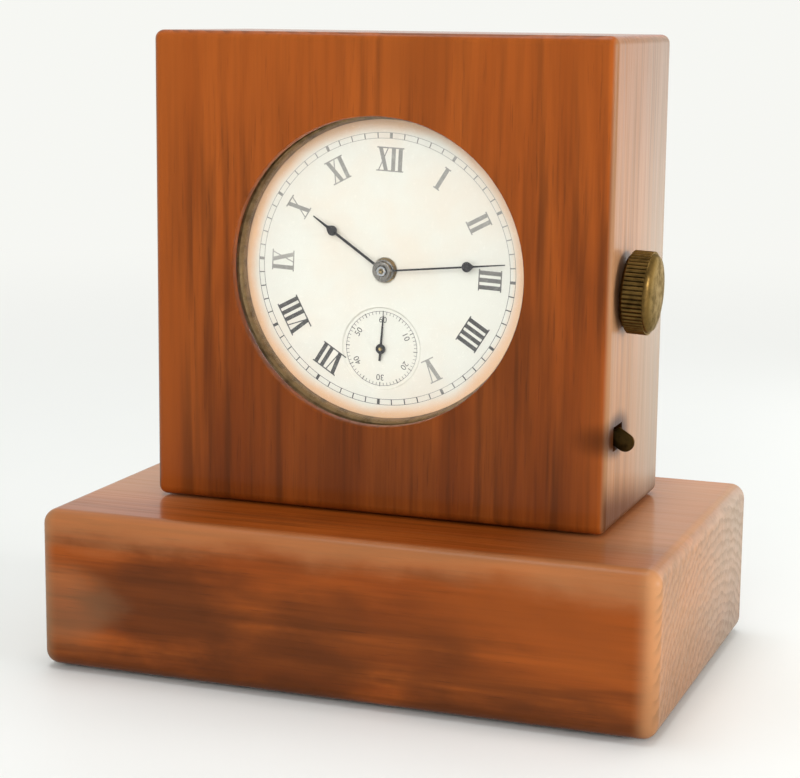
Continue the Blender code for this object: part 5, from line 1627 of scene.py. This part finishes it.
class CLOCK_OT_stage(bpy.types.Operator):
    """Sets the floor, the lamps, the background and the camera"""

    bl_idname = "clock.stage"
    bl_label = "Stage"

    def execute(self, context):
        settings = context.scene.clock_stage
        scene = context.scene
        self.floor(settings)
        self.world(scene, settings)
        self.lamp("key_lamp", (0.12, -1.10, 0.46), (0.9, 0.7), settings.key, False)
        self.lamp("top_lamp", (-0.10, 0.10, 1.35), (0.9, 0.9), settings.top)
        self.lamp("side_lamp", (0.98, 0.02, 0.16), (0.6, 0.3), settings.side)
        self.lamp("strip_lamp", (0.20, 0.31, 0.08), (0.26, 0.20), settings.strip)
        self.camera(scene, settings)
        scene.view_settings.view_transform = "Standard"
        return {"FINISHED"}

    def floor(self, settings):
        """A pale floor that fades into the background away from the clock."""
        shape = bmesh.new()
        bmesh.ops.create_grid(shape, x_segments=1, y_segments=1, size=3.0)
        data = mesh_from(shape)
        material, tree, shader, vector = new_material("pale_floor")
        grain = spread(tree, noise(tree, vector, 35.0, 3.0, 0.5), 0.3, 0.7, 0.0, 0.25)
        tone = tint(tree, tuple(settings.floor), shares_of(settings.floor, 0.985), grain)
        put(tree, shader, "Base Color", tone)
        put(tree, shader, "Roughness", 0.55)
        fade = spread(tree, vectors(tree, "LENGTH", vector), 0.08, 0.75)
        glow = filled(tree, "ShaderNodeEmission", [tuple(settings.backdrop)])
        share = calculate(tree, "MULTIPLY", fade, seen_directly(tree))
        mix_surface(tree, share, shader, glow, tree.nodes["Material Output"])
        data.materials.append(material)
        linked("floor", data)

    def world(self, scene, settings):
        """A plain background; the light that it gives is set apart from its colour."""
        world = bpy.data.worlds.new("studio")
        scene.world = world
        world.use_nodes = True
        tree = world.node_tree
        tree.nodes.clear()
        around = filled(tree, "ShaderNodeBackground", ((0.98, 0.99, 1.0), settings.sky))
        shown = filled(tree, "ShaderNodeBackground", (tuple(settings.backdrop), 1.0))
        output = add(tree, "ShaderNodeOutputWorld")
        mix_surface(tree, seen_directly(tree), around, shown, output)

    def lamp(self, name, place, size, power, mirrored=True):
        """An oval lamp; one that isn't mirrored leaves the dial's glass clear."""
        data = bpy.data.lights.new(name, "AREA")
        data.shape = "ELLIPSE"
        data.size, data.size_y = size
        data.energy = power
        lamp = linked(name, data)
        lamp.location = place
        aim = Vector((0, 0, 0.06)) - Vector(place)
        lamp.rotation_euler = aim.to_track_quat("-Z", "Y").to_euler()
        lamp.visible_glossy = mirrored

    def camera(self, scene, settings):
        data = bpy.data.cameras.new("camera")
        data.sensor_fit = "HORIZONTAL"
        data.sensor_width = 36.0
        data.lens = settings.lens
        data.clip_start = 0.01
        camera = linked("camera", data)
        turn, rise, roll = settings.turn, settings.rise, settings.roll
        back = Vector((sin(turn) * cos(rise), -cos(turn) * cos(rise), sin(rise)))
        right = (-back).cross(Vector((0, 0, 1))).normalized()
        up = right.cross(-back)
        tilted_right = right * cos(roll) + up * sin(roll)
        tilted_up = -right * sin(roll) + up * cos(roll)
        axes = Matrix((tilted_right, tilted_up, back)).transposed().to_4x4()
        place = Vector(settings.target) + back * settings.distance
        camera.matrix_world = Matrix.Translation(place) @ axes
        scene.camera = camera


class CLOCK_PT_panel(bpy.types.Panel):
    """Lists the steps that dress the clock"""

    bl_label = "Desk Clock"
    bl_idname = "CLOCK_PT_panel"
    bl_space_type = "VIEW_3D"
    bl_region_type = "UI"
    bl_category = "Desk Clock"

    def draw(self, context):
        for step in steps:
            self.layout.operator(step.bl_idname)
        for group in groups:
            column = self.layout.column(align=True)
            settings = getattr(context.scene, group)
            for name in settings.bl_rna.properties.keys():
                if name not in ("rna_type", "name"):
                    column.prop(settings, name)


steps = (
    CLOCK_OT_stage,
    CLOCK_OT_wooden_base,
    CLOCK_OT_wooden_block,
    CLOCK_OT_feet_and_screws,
    CLOCK_OT_back_cover,
    CLOCK_OT_ring_and_glass,
    CLOCK_OT_dial,
    CLOCK_OT_hands,
    CLOCK_OT_movement,
    CLOCK_OT_knob_and_lever,
)
groups = {
    "clock_case": CaseSettings,
    "clock_dial": DialSettings,
    "clock_hands": HandSettings,
    "clock_metal": MetalSettings,
    "clock_stage": StageSettings,
}


def register():
    for kind in (*groups.values(), *steps, CLOCK_PT_panel):
        bpy.utils.register_class(kind)
    for name, kind in groups.items():
        setattr(bpy.types.Scene, name, bpy.props.PointerProperty(type=kind))


def unregister():
    for name in groups:
        delattr(bpy.types.Scene, name)
    for kind in reversed((*groups.values(), *steps, CLOCK_PT_panel)):
        bpy.utils.unregister_class(kind)


def main():
    register()
    for step in steps:
        family, name = step.bl_idname.split(".")
        getattr(getattr(bpy.ops, family), name)()


if __name__ == "__main__":
    main()
